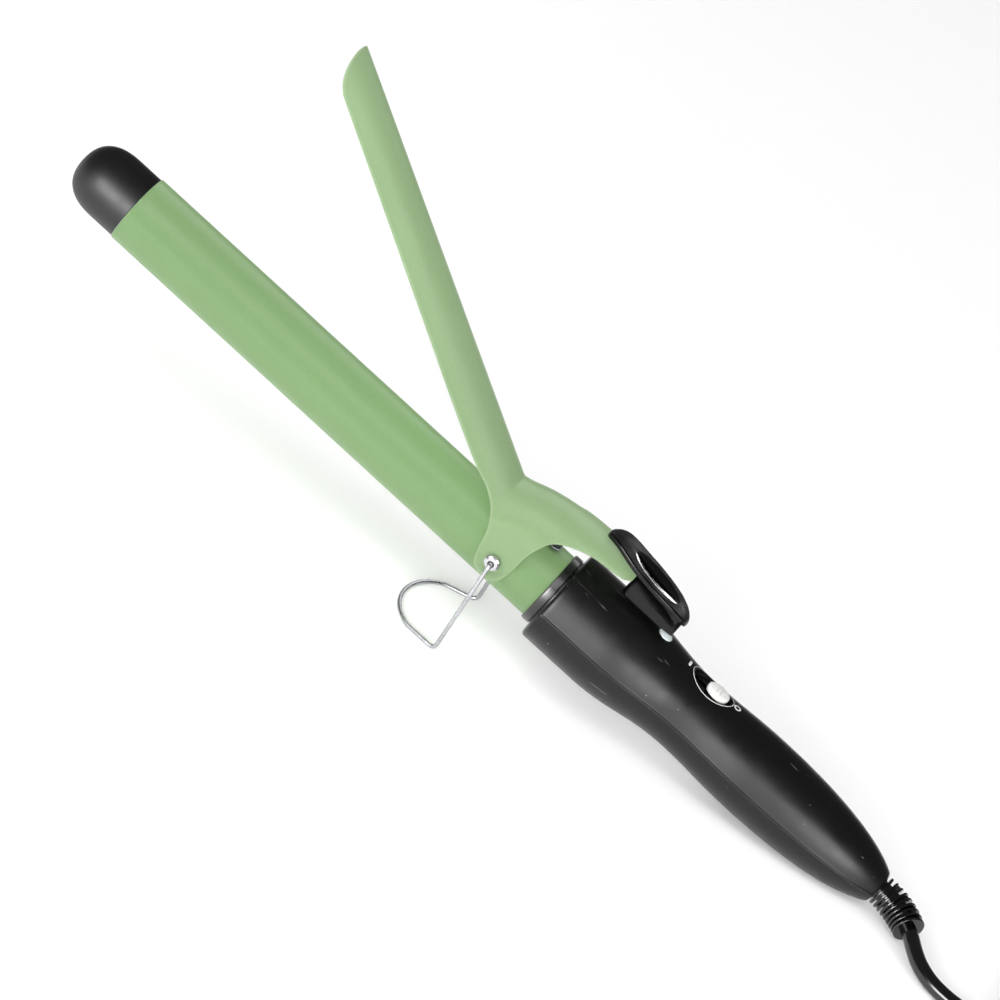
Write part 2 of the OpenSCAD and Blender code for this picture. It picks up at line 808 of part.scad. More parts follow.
// Flat two-pin plug: a narrow grip that widens to the pins' face
module plug_body() {
    relief = 9;
    wide = 13;
    outline = [
        [plug_x, -3.6], [plug_x + relief, -5], [plug_x + relief + 4, -8.5], [plug_x + 22, -wide + 1],
        [plug_x + plug_len - 2, -wide], [plug_x + plug_len, -wide + 1.6],
        [plug_x + plug_len, wide - 1.6], [plug_x + plug_len - 2, wide], [plug_x + 22, wide - 1],
        [plug_x + relief + 4, 8.5], [plug_x + relief, 5], [plug_x, 3.6]
    ];
    color("#0e0e0f") translate([0, plug_y, 0]) difference() {
        intersection() {
            linear_extrude(2 * plug_half_h) polygon(outline);
            translate([0, 0, plug_half_h]) rotate([90, 0, 0]) linear_extrude(4 * wide, center = true)
                polygon([
                    [plug_x, -4], [plug_x + relief, -5], [plug_x + relief + 5, -plug_half_h],
                    [plug_x + plug_len, -plug_half_h], [plug_x + plug_len, plug_half_h],
                    [plug_x + relief + 5, plug_half_h], [plug_x + relief, 5], [plug_x, 4]
                ]);
        }
        for (s = [-1, 1]) translate([0, s * pin_spacing / 2, plug_half_h])
            rod_x(plug_x + plug_len - pin_root_len, plug_x + plug_len + 1, pin_root_r);
    }
}

module plug_pins() {
    face = plug_x + plug_len;
    color("lightgray") for (s = [-1, 1]) translate([0, plug_y + s * pin_spacing / 2, plug_half_h]) {
        rod_x(face - pin_root_len, face + EPS, pin_root_r);
        rod_x(face, face + pin_len, pin_r);
    }
}

barrel_tube();
tip_cap();
heater_shoe_upper();
heater_shoe_lower();
ptc_plates();
electrode_strips();
heater_film();
thermal_fuse();
heater_leads();
barrel_collar();
barrel_bush();
pivot_rivets();
clamp_lever();
thumb_rest();
thumb_rest_screw();
clamp_spring();
spring_rivet();
wire_stand();
handle_upper_shell();
handle_lower_shell();
handle_screws();
switch_slider();
switch_body();
switch_terminals();
lamp_lens();
indicator_lamp();
lamp_board();
crimp_caps();
supply_wires();
cord_clamp();
cord_clamp_screws();
cord_inner_end();
strain_relief();
cord_lead();
cord_hank();
cord_tail();
cord_tie();
plug_body();
plug_pins();
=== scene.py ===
import json
import math

import bmesh
import bpy
from mathutils import Matrix, Vector
from mathutils.kdtree import KDTree

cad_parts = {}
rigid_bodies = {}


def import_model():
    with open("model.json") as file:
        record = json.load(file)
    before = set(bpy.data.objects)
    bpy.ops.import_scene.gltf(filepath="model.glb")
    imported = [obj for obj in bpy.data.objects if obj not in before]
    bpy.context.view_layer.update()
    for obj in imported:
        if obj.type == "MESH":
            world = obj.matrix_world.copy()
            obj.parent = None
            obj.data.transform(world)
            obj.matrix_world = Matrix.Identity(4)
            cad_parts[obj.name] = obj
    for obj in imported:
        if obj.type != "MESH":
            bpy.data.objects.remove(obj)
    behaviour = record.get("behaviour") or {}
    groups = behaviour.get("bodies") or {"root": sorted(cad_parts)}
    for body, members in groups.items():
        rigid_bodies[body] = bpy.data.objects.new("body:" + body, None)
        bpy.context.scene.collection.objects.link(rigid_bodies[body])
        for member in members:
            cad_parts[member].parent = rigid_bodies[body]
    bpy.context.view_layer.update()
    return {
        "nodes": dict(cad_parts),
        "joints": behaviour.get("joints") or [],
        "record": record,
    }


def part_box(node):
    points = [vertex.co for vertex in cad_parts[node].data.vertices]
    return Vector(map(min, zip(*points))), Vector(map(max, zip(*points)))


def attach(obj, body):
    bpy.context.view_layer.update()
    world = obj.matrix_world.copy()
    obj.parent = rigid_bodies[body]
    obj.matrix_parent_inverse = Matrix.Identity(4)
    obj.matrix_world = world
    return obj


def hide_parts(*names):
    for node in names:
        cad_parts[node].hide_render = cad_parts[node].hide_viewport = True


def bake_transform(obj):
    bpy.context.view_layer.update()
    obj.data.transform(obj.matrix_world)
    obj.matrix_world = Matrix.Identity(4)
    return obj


# The looks of a curling iron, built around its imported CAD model.
# Pieces of the iron are drawn in its own axes, in millimetres: x runs along the barrel towards the handle,
# with zero at the handle's front face, y is across and z is up from the barrel's axis. Pieces on the table
# are drawn in millimetres of the frame itself.

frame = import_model()

MM = 0.001


# ---- the iron's axes and sizes, from the frame ----

joints = {joint["name"]: joint for joint in frame["joints"]}
pivot = Vector(joints["clamp_pivot"]["pos_m"])
along = -Vector(joints["switch_slide"]["axis"]).normalized()
across = Vector((0, 1, 0))
above = along.cross(across)


def span(node, start):
    """Lowest and highest corners of a CAD node in the iron's axes, in millimetres from start."""
    points = [(v.co - start) / MM for v in frame["nodes"][node].data.vertices]
    ranges = [[p.dot(axis) for p in points] for axis in (along, across, above)]
    return Vector([min(r) for r in ranges]), Vector([max(r) for r in ranges])


pivot_x = -span("handle_upper_shell", pivot)[0].x
origin = pivot - along * pivot_x * MM
axes = Matrix((along, across, above)).transposed().to_4x4()
IRON = Matrix.Translation(origin) @ axes @ Matrix.Scale(MM, 4)
TABLE = Matrix.Scale(MM, 4)
ACROSS_PIVOT = Matrix.Translation((pivot_x, 0, 0)) @ Matrix.Rotation(math.pi / 2, 4, "Z")

barrel_low, barrel_high = span("barrel_tube", origin)
seam_x = barrel_low.x
barrel_r = barrel_high.y
bore_r = barrel_r - 1
cap_low = span("tip_cap", origin)[0]
collar_low, collar_high = span("barrel_collar", origin)
collar_ring_r = barrel_r + 1
collar_neck_r = barrel_r + 0.5
handle_low, handle_high = span("handle_lower_shell", origin)
handle_len = handle_high.x
shoulder_r = -handle_low.z
slider_low, slider_high = span("switch_slider", origin)
lens_low, lens_high = span("lamp_lens", origin)
lens_x = (lens_low.x + lens_high.x) / 2 - 0.8
lens_r = lens_high.y + 0.2
rest_low, rest_high = span("thumb_rest", origin)
rivet_high = span("pivot_rivets", origin)[1]


# ---- camera ----

def aim_camera():
    """The view from the near side, a little above the barrel and turned. Gives the point it looks at."""
    rise = math.radians(28.5)
    roll = math.radians(-42.5)
    distance = 1.48
    forward = across * math.cos(rise) - above * math.sin(rise)
    side = above * math.cos(rise) + across * math.sin(rise)
    right = along * math.cos(roll) - side * math.sin(roll)
    up = along * math.sin(roll) + side * math.cos(roll)
    target = origin + (side * 9.8 - along * 35.8) * MM
    camera = bpy.data.objects.new("camera", bpy.data.cameras.new("camera"))
    bpy.context.scene.collection.objects.link(camera)
    turn = Matrix((right, up, -forward)).transposed().to_4x4()
    camera.matrix_world = Matrix.Translation(target - forward * distance) @ turn
    camera.data.sensor_width = 36
    camera.data.lens = 163.9
    camera.data.clip_end = 20
    bpy.context.scene.camera = camera
    return target


view_target = aim_camera()


# ---- small curves and outlines ----

def mix(a, b, t):
    return a + (b - a) * t


def ease(t):
    return (1 - math.cos(math.pi * t)) / 2


def clamped(t):
    return max(0.0, min(1.0, t))


def smooth(t):
    t = clamped(t)
    return t * t * (3 - 2 * t)


def spaced(a, b, count):
    return [mix(a, b, i / (count - 1)) for i in range(count)]


def curve_through(points, steps):
    """A smooth line through points of any length of tuple, with steps pieces between each pair."""
    points = [Vector(p) for p in points]
    line = []
    for i in range(len(points) - 1):
        p1, p2 = points[i], points[i + 1]
        p0 = points[i - 1] if i else p1 * 2 - p2
        p3 = points[i + 2] if i + 2 < len(points) else p2 * 2 - p1
        for k in range(steps):
            t = k / steps
            line.append(
                (p1 * 2 + (p2 - p0) * t + (p0 * 2 - p1 * 5 + p2 * 4 - p3) * t ** 2
                 + (p1 * 3 - p0 - p2 * 3 + p3) * t ** 3) / 2
            )
    return line + [points[-1]]


def rounded(outline, steps=5, closed=False):
    """A line of points, each followed by a radius, with each corner rounded to its radius."""
    out = []
    last = len(outline) - 1
    for i, (*corner, radius) in enumerate(outline):
        corner = Vector(corner)
        if radius == 0 or (not closed and i in (0, last)):
            out.append(corner)
            continue
        back = Vector(outline[i - 1][:-1]) - corner
        on = Vector(outline[(i + 1) % len(outline)][:-1]) - corner
        reach = radius / math.tan(back.angle(on) / 2)
        start = corner + back.normalized() * min(reach, back.length * 0.49)
        end = corner + on.normalized() * min(reach, on.length * 0.49)
        for k in range(steps + 1):
            t = k / steps
            out.append(mix(mix(start, corner, t), mix(corner, end, t), t))
    return out


def oval(half_x, half_y, power, count):
    """Points round an oval: power 2 is an ellipse, and more makes it squarer."""
    out = []
    for k in range(count):
        a = 2 * math.pi * k / count
        c, s = math.cos(a), math.sin(a)
        out.append((
            math.copysign(abs(c) ** (2 / power), c) * half_x,
            math.copysign(abs(s) ** (2 / power), s) * half_y,
        ))
    return out


# ---- meshes ----

def skin(rows, closed=True, ends=True):
    """Points and faces of a surface through rows of points, where closed makes each row a ring."""
    width = len(rows[0])
    points = [Vector(p) for row in rows for p in row]
    faces = []
    for r in range(len(rows) - 1):
        for k in range(width if closed else width - 1):
            a, b = r * width + k, r * width + (k + 1) % width
            faces.append((a, b, b + width, a + width))
    if ends:
        faces.append(tuple(range(width)))
        faces.append(tuple(range((len(rows) - 1) * width, len(rows) * width)))
    return points, faces


def lathe(profile, sides=96):
    """A solid turned about x. Its profile of (x, radius) is closed, or starts and ends on the axis."""
    rings = []
    for x, r in profile:
        turns = [2 * math.pi * k / sides for k in range(sides)]
        rings.append([(x, r * math.cos(a), r * math.sin(a)) for a in turns])
    if profile[0][1] > 0:
        rings.append(rings[0])
    return skin(rings, ends=False)


def sweep(path, section, up, closed=False):
    """A section of (side, up) offsets carried along a path, whose up follows the path."""
    path = [Vector(p) for p in path]
    up = Vector(up)
    rows = []
    last = len(path) - 1
    for i, p in enumerate(path):
        ahead = path[(i + 1) % len(path)] if closed else path[min(i + 1, last)]
        behind = path[i - 1] if closed else path[max(i - 1, 0)]
        run = (ahead - behind).normalized()
        normal = (up - run * up.dot(run)).normalized()
        side = run.cross(normal)
        rows.append([p + side * a + normal * b for a, b in section])
        up = normal
    if closed:
        return skin(rows + [rows[0]], ends=False)
    return skin(rows)


def circle(r, sides):
    return oval(r, r, 2, sides)


def strip(width, thick, radius):
    """The section of a flat strip with rounded corners."""
    a, b = width / 2, thick / 2
    return rounded([(x, z, radius) for x, z in ((-a, -b), (a, -b), (a, b), (-a, b))], 3, closed=True)


def moved(part, matrix):
    return [matrix @ Vector(p) for p in part[0]], part[1]


def flipped(part):
    """A copy on the other side of the iron's middle plane."""
    return [Vector((p[0], -p[1], p[2])) for p in part[0]], part[1]


def build(name, parts, place):
    """One mesh object of all the parts, which are (points, faces)."""
    mesh = bpy.data.meshes.new(name)
    work = bmesh.new()
    for points, faces in parts:
        verts = [work.verts.new(place @ Vector(p)) for p in points]
        for face in faces:
            work.faces.new([verts[k] for k in face])
    bmesh.ops.remove_doubles(work, verts=work.verts, dist=2e-7)
    bmesh.ops.dissolve_degenerate(work, dist=2e-7, edges=work.edges)
    bmesh.ops.recalc_face_normals(work, faces=work.faces)
    work.to_mesh(mesh)
    work.free()
    thing = bpy.data.objects.new(name, mesh)
    bpy.context.scene.collection.objects.link(thing)
    return thing


def baked(thing):
    """Applies the modifiers of an object."""
    graph = bpy.context.evaluated_depsgraph_get()
    mesh = bpy.data.meshes.new_from_object(thing.evaluated_get(graph))
    thing.modifiers.clear()
    thing.data = mesh
    return thing


def combined(thing, others, how):
    """Cuts others from a mesh, or joins them to it, and removes them."""
    for other in others:
        step = thing.modifiers.new(how, "BOOLEAN")
        step.operation = how
        step.solver = "EXACT"
        step.object = other
    baked(thing)
    for other in others:
        bpy.data.objects.remove(other)
    return thing


def dress(thing, slot, body, nodes, sharp=32, look=None):
    """Gives a piece its material, its slot's look unless another look is named, smooth shading and its body,
    and hides the CAD nodes that it stands for.
    """
    thing.data.materials.clear()
    thing.data.materials.append(looks[look or slot])
    thing.data.shade_smooth()
    thing.data.set_sharp_from_angle(angle=math.radians(sharp))
    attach(thing, body)
    if nodes:
        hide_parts(*nodes)
    return thing


# ---- materials ----

def linear(colour):
    """Linear light from a colour of 0 to 255 a channel."""
    out = []
    for c in colour:
        c /= 255
        out.append(c / 12.92 if c <= 0.04045 else ((c + 0.055) / 1.055) ** 2.4)
    return (*out, 1.0)


class Look:
    """A material and the nodes that its details hang on. All scales are per metre."""

    def __init__(self, name, colour, metallic=0.0, **sockets):
        self.material = bpy.data.materials.new(name)
        self.material.use_nodes = True
        self.tree = self.material.node_tree
        self.shader = self.tree.nodes["Principled BSDF"]
        self.shader.inputs["Metallic"].default_value = metallic
        for socket, value in sockets.items():
            self.shader.inputs[socket.replace("_", " ")].default_value = value
        place = self.node("ShaderNodeTexCoord").outputs["Object"]
        turn = {"Vector": place, "Rotation": axes.to_euler()}
        self.place = self.node("ShaderNodeMapping", turn, vector_type="TEXTURE").outputs["Vector"]
        self.colour = self.node("ShaderNodeRGB").outputs[0]
        self.colour.default_value = linear(colour)
        self.rough = None
        self.height = None

    def node(self, kind, inputs=None, **settings):
        """Adds a node, whose inputs are given as values or as other nodes' outputs."""
        made = self.tree.nodes.new(kind)
        for key, value in settings.items():
            setattr(made, key, value)
        for socket, value in (inputs or {}).items():
            if isinstance(value, bpy.types.NodeSocket):
                self.tree.links.new(value, made.inputs[socket])
            else:
                made.inputs[socket].default_value = value
        return made

    def maths(self, how, *values):
        return self.node("ShaderNodeMath", dict(enumerate(values)), operation=how).outputs[0]

    def noise(self, scale, detail=3.0, stretch=None, shift=0.0, distortion=0.0):
        """Smooth noise, as a value near 0.5."""
        place = self.place
        if stretch:
            place = self.node("ShaderNodeMapping", {"Scale": stretch, "Vector": place}).outputs["Vector"]
        inputs = {"Scale": scale, "Detail": detail, "W": shift, "Distortion": distortion, "Vector": place}
        return self.node("ShaderNodeTexNoise", inputs, noise_dimensions="4D").outputs["Fac"]

    def ranged(self, value, low, high, new_low=0.0, new_high=1.0):
        """A value mapped from one range to another, and held within it."""
        ends = {"From Min": low, "From Max": high, "To Min": new_low, "To Max": new_high}
        return self.node("ShaderNodeMapRange", {**ends, "Value": value}).outputs["Result"]

    def times(self, a, b):
        return self.maths("MULTIPLY", a, b)

    def attribute(self, name):
        return self.node("ShaderNodeAttribute", attribute_name=name).outputs["Fac"]

    def tint(self, mask, colour):
        """Mixes towards a colour where the mask is 1."""
        inputs = {"Factor": mask, 6: self.colour, 7: linear(colour)}
        self.colour = self.node("ShaderNodeMix", inputs, data_type="RGBA").outputs[2]

    def tone(self, mask, low, high):
        """Darkens and lightens the colour between two factors by a mask of 0 to 1."""
        inputs = {0: self.colour, "Scale": self.ranged(mask, 0.0, 1.0, low, high)}
        self.colour = self.node("ShaderNodeVectorMath", inputs, operation="SCALE").outputs[0]

    def gloss(self, mask, low, high):
        """Roughness between two values by a mask of 0 to 1."""
        self.rough = self.ranged(mask, 0.0, 1.0, low, high)

    def rougher(self, mask, amount):
        self.rough = self.maths("MULTIPLY_ADD", mask, amount, self.rough)

    def relief(self, value, depth):
        """Adds to the surface's height. depth is in millimetres."""
        if self.height is None:
            self.height = self.maths("MULTIPLY", value, depth)
        else:
            self.height = self.maths("MULTIPLY_ADD", value, depth, self.height)

    def done(self):
        ends = {"Base Color": self.colour, "Roughness": self.rough}
        if self.height is not None:
            bump = self.node("ShaderNodeBump", {"Distance": MM, "Height": self.height})
            ends["Normal"] = bump.outputs["Normal"]
        for socket, value in ends.items():
            self.tree.links.new(value, self.shader.inputs[socket])
        return self.material


def coating(name, colour, rim):
    """Satin ceramic coating: a faint orange peel, a slow drift of tone, and paler rims."""
    look = Look(name, colour, Specular_IOR_Level=0.35)
    drift = look.noise(28, 2.0, stretch=(0.3, 1, 1))
    speck = look.noise(900, 2.0, shift=3.0)
    look.tone(look.ranged(drift, 0.3, 0.7), 0.97, 1.03)
    look.tone(look.ranged(speck, 0.35, 0.65), 0.985, 1.015)
    look.gloss(look.ranged(look.noise(120, 3.0, shift=5.0), 0.3, 0.7), 0.34, 0.42)
    look.relief(look.noise(420, 2.0, shift=7.0), 0.02)
    look.relief(look.noise(1900, 2.0, shift=8.0), 0.006)
    if rim:
        # the colour turns paler near the sheet's rims, by a patchy amount of 0.15 to 0.4
        rim_patches = look.ranged(look.noise(90, 3.0, shift=9.0), 0.3, 0.7, 0.15, 0.4)
        look.tint(look.times(look.attribute("rim"), rim_patches), (196, 208, 178))
    return look.done()


def black_plastic(name, colour, rough, grain, scuffs=0.0, **sockets):
    """Moulded black plastic: fine grain, cloudy gloss, and light scuffs where it is handled."""
    look = Look(name, colour, **sockets)
    look.tone(look.ranged(look.noise(45, 3.0), 0.3, 0.7), 0.9, 1.1)
    look.gloss(look.ranged(look.noise(170, 4.0, shift=2.0), 0.3, 0.7), rough - 0.05, rough + 0.05)
    look.relief(look.noise(2600, 2.0, shift=4.0), grain)
    look.relief(look.noise(240, 2.0, shift=6.0), grain)
    if scuffs:
        fine = look.noise(900, 3.0, stretch=(0.08, 1, 1), shift=11.0, distortion=0.4)
        worn = look.noise(60, 2.0, shift=12.0)
        lines = look.times(look.ranged(fine, 0.66, 0.72), look.ranged(worn, 0.5, 0.62))
        dust = look.ranged(look.noise(600, 1.0, shift=15.0), 0.755, 0.78)
        for marks in (lines, dust):
            look.tint(look.ranged(marks, 0.0, 1.0, 0.0, scuffs), (150, 150, 150))
            look.rougher(marks, 0.2)
    return look.done()


def metal(name, colour, rough, lines=(1, 1, 1), marks=0.02):
    """Bright metal with drawing or turning lines along the short side of its stretch."""
    look = Look(name, colour, metallic=1.0)
    grain = look.noise(1500, 4.0, stretch=lines, shift=1.0)
    look.tone(look.ranged(look.noise(150, 3.0, shift=2.0), 0.3, 0.7), 0.9, 1.05)
    look.gloss(look.ranged(grain, 0.3, 0.7), rough - 0.04, rough + 0.1)
    look.relief(grain, marks)
    return look.done()


def moulded(name, colour, rough, tone=0.04, grain=0.01, scale=900, stretch=None, **sockets):
    """Plain moulded or baked stuff with a mottled tone and a light surface."""
    look = Look(name, colour, **sockets)
    look.tone(look.ranged(look.noise(scale * 0.2, 4.0, stretch=stretch), 0.3, 0.7), 1 - tone, 1 + tone)
    look.gloss(look.ranged(look.noise(scale * 0.3, 3.0, shift=2.0), 0.3, 0.7), rough - 0.05, rough + 0.05)
    look.relief(look.noise(scale, 3.0, stretch=stretch, shift=4.0), grain)
    return look.done()


def woven(name, colour, pitch, depth):
    """Woven sleeve or tape: two sets of threads at right angles."""
    look = Look(name, colour, Sheen_Weight=0.3)
    threads = []
    for direction in ("X", "Y"):
        inputs = {"Scale": 1 / pitch / MM / 6.283, "Distortion": 0.6, "Detail": 1.0, "Vector": look.place}
        wave = look.node("ShaderNodeTexWave", inputs, bands_direction=direction)
        threads.append(wave.outputs["Fac"])
    cloth = look.times(*threads)
    look.tone(cloth, 0.75, 1.15)
    look.tone(look.ranged(look.noise(400, 4.0), 0.3, 0.7), 0.85, 1.15)
    look.gloss(look.noise(200), 0.7, 0.9)
    look.relief(cloth, depth)
    look.relief(look.noise(2500, 3.0, shift=3.0), depth * 0.6)
    return look.done()


looks = {}


def add_look(make, name, *values, **settings):
    looks[name] = make(name, *values, **settings)


add_look(coating, "barrel_coating", (133, 167, 114), rim=False)
add_look(coating, "clamp_coating", (148, 177, 130), rim=True)
add_look(metal, "cut_metal", (214, 216, 220), 0.28, lines=(1, 0.1, 0.1))
add_look(black_plastic, "cap_plastic", (7, 7, 7), 0.46, 0.004, Specular_IOR_Level=0.6)
add_look(black_plastic, "collar_plastic", (7, 7, 7), 0.3, 0.004, Specular_IOR_Level=0.9)
add_look(black_plastic, "gloss_black", (6, 6, 6), 0.17, 0.003, Specular_IOR_Level=0.35)
add_look(black_plastic, "handle_plastic", (12, 12, 12), 0.34, 0.008, scuffs=0.5, Specular_IOR_Level=0.36)
add_look(metal, "bright_metal", (205, 205, 208), 0.2)
add_look(metal, "stand_wire", (178, 178, 182), 0.24, lines=(0.08, 1, 1), marks=0.005)
add_look(metal, "spring_steel", (96, 99, 106), 0.3, lines=(0.1, 1, 1))
add_look(metal, "heater_metal", (196, 198, 202), 0.35, lines=(0.05, 1, 1), marks=0.03)
add_look(moulded, "heater_ceramic", (128, 116, 105), 0.7, tone=0.12, grain=0.03)
add_look(moulded, "insulating_film", (186, 124, 44), 0.25, tone=0.05, grain=0.004)
add_look(moulded, "phenolic", (132, 88, 52), 0.5, tone=0.15, stretch=(0.15, 1, 1), grain=0.015)
add_look(woven, "white_sleeve", (224, 221, 210), 0.7, 0.05)
add_look(moulded, "white_plastic", (200, 200, 198), 0.3, tone=0.015, grain=0.004)
add_look(moulded, "lens_white", (176, 177, 176), 0.16, tone=0.02, grain=0.002, Subsurface_Weight=0.2)
add_look(moulded, "inner_black", (42, 42, 44), 0.55, tone=0.08, grain=0.012)
add_look(metal, "brass_lugs", (196, 160, 84), 0.3, lines=(1, 1, 0.1))
add_look(moulded, "lamp_glass", (240, 150, 96), 0.12, tone=0.05, grain=0.002)
add_look(moulded, "blue_wire", (40, 74, 150), 0.35, tone=0.05, grain=0.005)
add_look(black_plastic, "cord_jacket", (7, 7, 7), 0.16, 0.003, Specular_IOR_Level=0.7)
add_look(black_plastic, "relief_rubber", (6, 6, 6), 0.14, 0.003, Specular_IOR_Level=0.7)
add_look(woven, "tie_fabric", (34, 34, 36), 0.9, 0.12)
add_look(metal, "pin_brass", (212, 210, 200), 0.22, lines=(0.06, 1, 1))

# ---- cord, plug and tie, on the table ----

cord_r = 2.75
lead_route = [
    (186.2, -5.2, 6.2), (187.9, -7, 5.9), (190.1, -9.7, 5.5), (193, -14, 4.8), (197, -18.4, 3.9),
    (202.6, -22.1, 3.2), (209, -24.3, 3), (215.5, -25.1, 3), (225, -25, 3), (235, -25, 3.2), (245, -25, 3.5),
]
tail_route = [(342, -19.5, 14), (352, -18.5, 12.5), (362, -16, 10), (372, -13.5, 7.6), (380, -13, 7)]
hank_low, hank_high = (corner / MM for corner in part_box("cord_hank"))
plug_low, plug_high = (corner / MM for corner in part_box("plug_body"))
pins_low, pins_high = (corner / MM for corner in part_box("plug_pins"))
tie_low, tie_high = (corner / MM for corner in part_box("cord_tie"))


def hank_line():
    """Five turns and a last run, wound as two tracks side by side in three layers.
    Each turn slides over to the next track between the far run and the left end, the later turns first."""
    mid_y = (hank_low.y + hank_high.y) / 2
    outer = (hank_high.y - hank_low.y) / 2 - cord_r
    inner = outer - 2 * cord_r
    left = hank_low.x + outer + cord_r
    right = hank_high.x - outer - cord_r
    layer = [hank_low.z + cord_r * (1 + 2 * k) for k in range(3)]
    tracks = [
        (outer, layer[0]), (inner, layer[0]), (inner, layer[1]),
        (outer, layer[1]), (outer, layer[2]), (inner, layer[2]),
    ]
    slide, lag = 46, 14
    line = []
    for turn, track in enumerate(tracks):
        radius, height = track
        for x in spaced(left, right, 9):
            line.append((x, mid_y - radius, height))
        if turn == len(tracks) - 1:
            break
        for k in range(1, 12):
            a = math.pi * k / 12
            line.append((right + radius * math.sin(a), mid_y - radius * math.cos(a), height))
        following = tracks[turn + 1]
        begin = (len(tracks) - 2 - turn) * lag
        bend = math.pi * (outer + inner) / 2
        sliding = (len(tracks) - 2) * lag + slide
        for k in range(41):
            s = (right - left + bend) * k / 41
            gone = smooth((s - (right - left + bend * 0.94 - sliding) - begin) / slide)
            r = mix(radius, following[0], gone)
            z = mix(height, following[1], gone)
            if s < right - left:
                line.append((right - s, mid_y + r, z))
            else:
                a = (s - (right - left)) / bend * math.pi
                line.append((left - r * math.sin(a), mid_y + r * math.cos(a), z))
    return line


def cord_line():
    return curve_through(lead_route + hank_line() + tail_route, 3)


def make_cord():
    line = cord_line()
    data = bpy.data.curves.new("cord", "CURVE")
    data.dimensions = "3D"
    data.bevel_depth = cord_r * MM
    data.bevel_resolution = 6
    data.use_fill_caps = True
    spline = data.splines.new("POLY")
    spline.points.add(len(line) - 1)
    for point, p in zip(spline.points, line):
        point.co = (*(Vector(p) * MM), 1)
    spline.use_smooth = True
    cord = bpy.data.objects.new("cord", data)
    bpy.context.scene.collection.objects.link(cord)
    data.materials.append(looks["cord_jacket"])
    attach(cord, "root")
    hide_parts("cord_lead", "cord_hank", "cord_tail")
    return cord, line


cord, route = make_cord()


# ---- barrel, cap and collar ----

def painted(thing, second, where):
    """Gives the second material to the faces whose middle, in the iron's axes, passes a test."""
    back = IRON.inverted()
    thing.data.materials.append(second)
    for face in thing.data.polygons:
        if where(back @ face.center):
            face.material_index = 1


def make_barrel():
    inside = bore_r + 0.02
    profile = rounded([
        (barrel_high.x, barrel_r, 0), (seam_x, barrel_r, 0.3),
        (seam_x, inside, 0.1), (barrel_high.x, inside, 0),
    ])
    profile[1:1] = [Vector((x, barrel_r)) for x in spaced(barrel_high.x, seam_x, 40)[1:-1]]
    barrel = build("barrel", [lathe(profile, 128)], IRON)
    dress(barrel, "barrel_coating", "root", ["barrel_tube"])
    painted(barrel, looks["cut_metal"], lambda p: p.x < seam_x + 0.12)


def cap_profile():
    radius = barrel_r - 0.4
    straight = 8.9
    dome = seam_x - cap_low.x - straight
    spigot = bore_r - 0.03
    profile = rounded([
        (seam_x + 8, 0, 0), (seam_x + 8, spigot, 0.4), (seam_x + 0.02, spigot, 0),
        (seam_x + 0.02, radius, 0.35), (seam_x - straight, radius, 0),
    ], 4)
    for i in range(1, 29):
        a = math.pi / 2 * i / 28
        out = radius * math.cos(a) ** 0.8 if i < 28 else 0
        profile.append(Vector((seam_x - straight - dome * math.sin(a) ** 0.8, out)))
    return profile


def make_cap():
    cap = build("tip_cap_shell", [lathe(cap_profile(), 128)], IRON)
    dress(cap, "cap_plastic", "root", ["tip_cap"])


def make_collar():
    ring_start, ring_end = collar_low.x + 0.5, -2.3
    neck = collar_neck_r
    profile = rounded([
        (ring_start, barrel_r + 0.02, 0), (ring_start, collar_ring_r, 1.2), (ring_end, collar_ring_r, 1.2),
        (ring_end, neck, 0.15), (collar_high.x, neck, 0), (collar_high.x, barrel_r + 0.02, 0),
    ], 8)
    collar = build("collar", [lathe(profile, 128)], IRON)
    dress(collar, "gloss_black", "root", ["barrel_collar"], look="collar_plastic")


# ---- handle ----

waist_x, waist_r = 57, 13.5
belly_x, belly_r = 84, 14.5
tail_r = 5.8
shoulder_end = 20
front_x = -1.7
front_round = 1.3
tail_round = 0.8
shell_wall = 2.2
front_wall = 2.4
tail_wall = 6
keel = 4.2
recess_x = waist_x - 1
recess_half = (8, 5)
recess_floor = waist_r - 2
screw_xs = (24, handle_len - 50.4)
screw_seat = 6


def handle_r(x):
    """Radius of the handle at a distance x behind its front face."""
    near = max(0.0, front_x + front_round - x)
    if near:
        return shoulder_r - front_round + math.sqrt(max(0, front_round ** 2 - near ** 2))
    if x < shoulder_end:
        return shoulder_r
    if x < waist_x:
        return mix(shoulder_r, waist_r, ease((x - shoulder_end) / (waist_x - shoulder_end)))
    if x < belly_x:
        return mix(waist_r, belly_r, ease((x - waist_x) / (belly_x - waist_x)))
    share = (x - belly_x) / (handle_len - belly_x)
    r = belly_r * math.sqrt(max(0, 1 - (1 - (tail_r / belly_r) ** 2) * share ** 2.3))
    near = max(0.0, tail_round - (handle_len - x))
    return r - tail_round + math.sqrt(tail_round ** 2 - near ** 2)


def cavity_r(x):
    """Radius of the hollow inside the handle, with its end walls' openings."""
    if x <= front_wall:
        return collar_neck_r + 0.15
    if x >= handle_len - tail_wall:
        return 4.25
    return max(handle_r(x) - shell_wall, 4.25)


def section_r(x, turn, upper):
    """Radius at a turn up or down from the parting line: the shells meet there in a soft keel."""
    r = handle_r(x)
    size = r / shoulder_r
    if not upper:
        return r + 0.5 * size * (1 - smooth((x - 30) / 20))
    t = min(turn, math.pi - turn) / 1.05
    if t >= 1:
        return r
    fuller = 0.5 * (1 - smooth((x - 30) / 20)) * (1 - smooth(t))
    return r + size * (fuller - keel * t * (1 - t) ** 2)


def on_handle(x, y, lift=0.0):
    return Vector((x, y, math.sqrt((handle_r(x) + lift) ** 2 - y * y)))


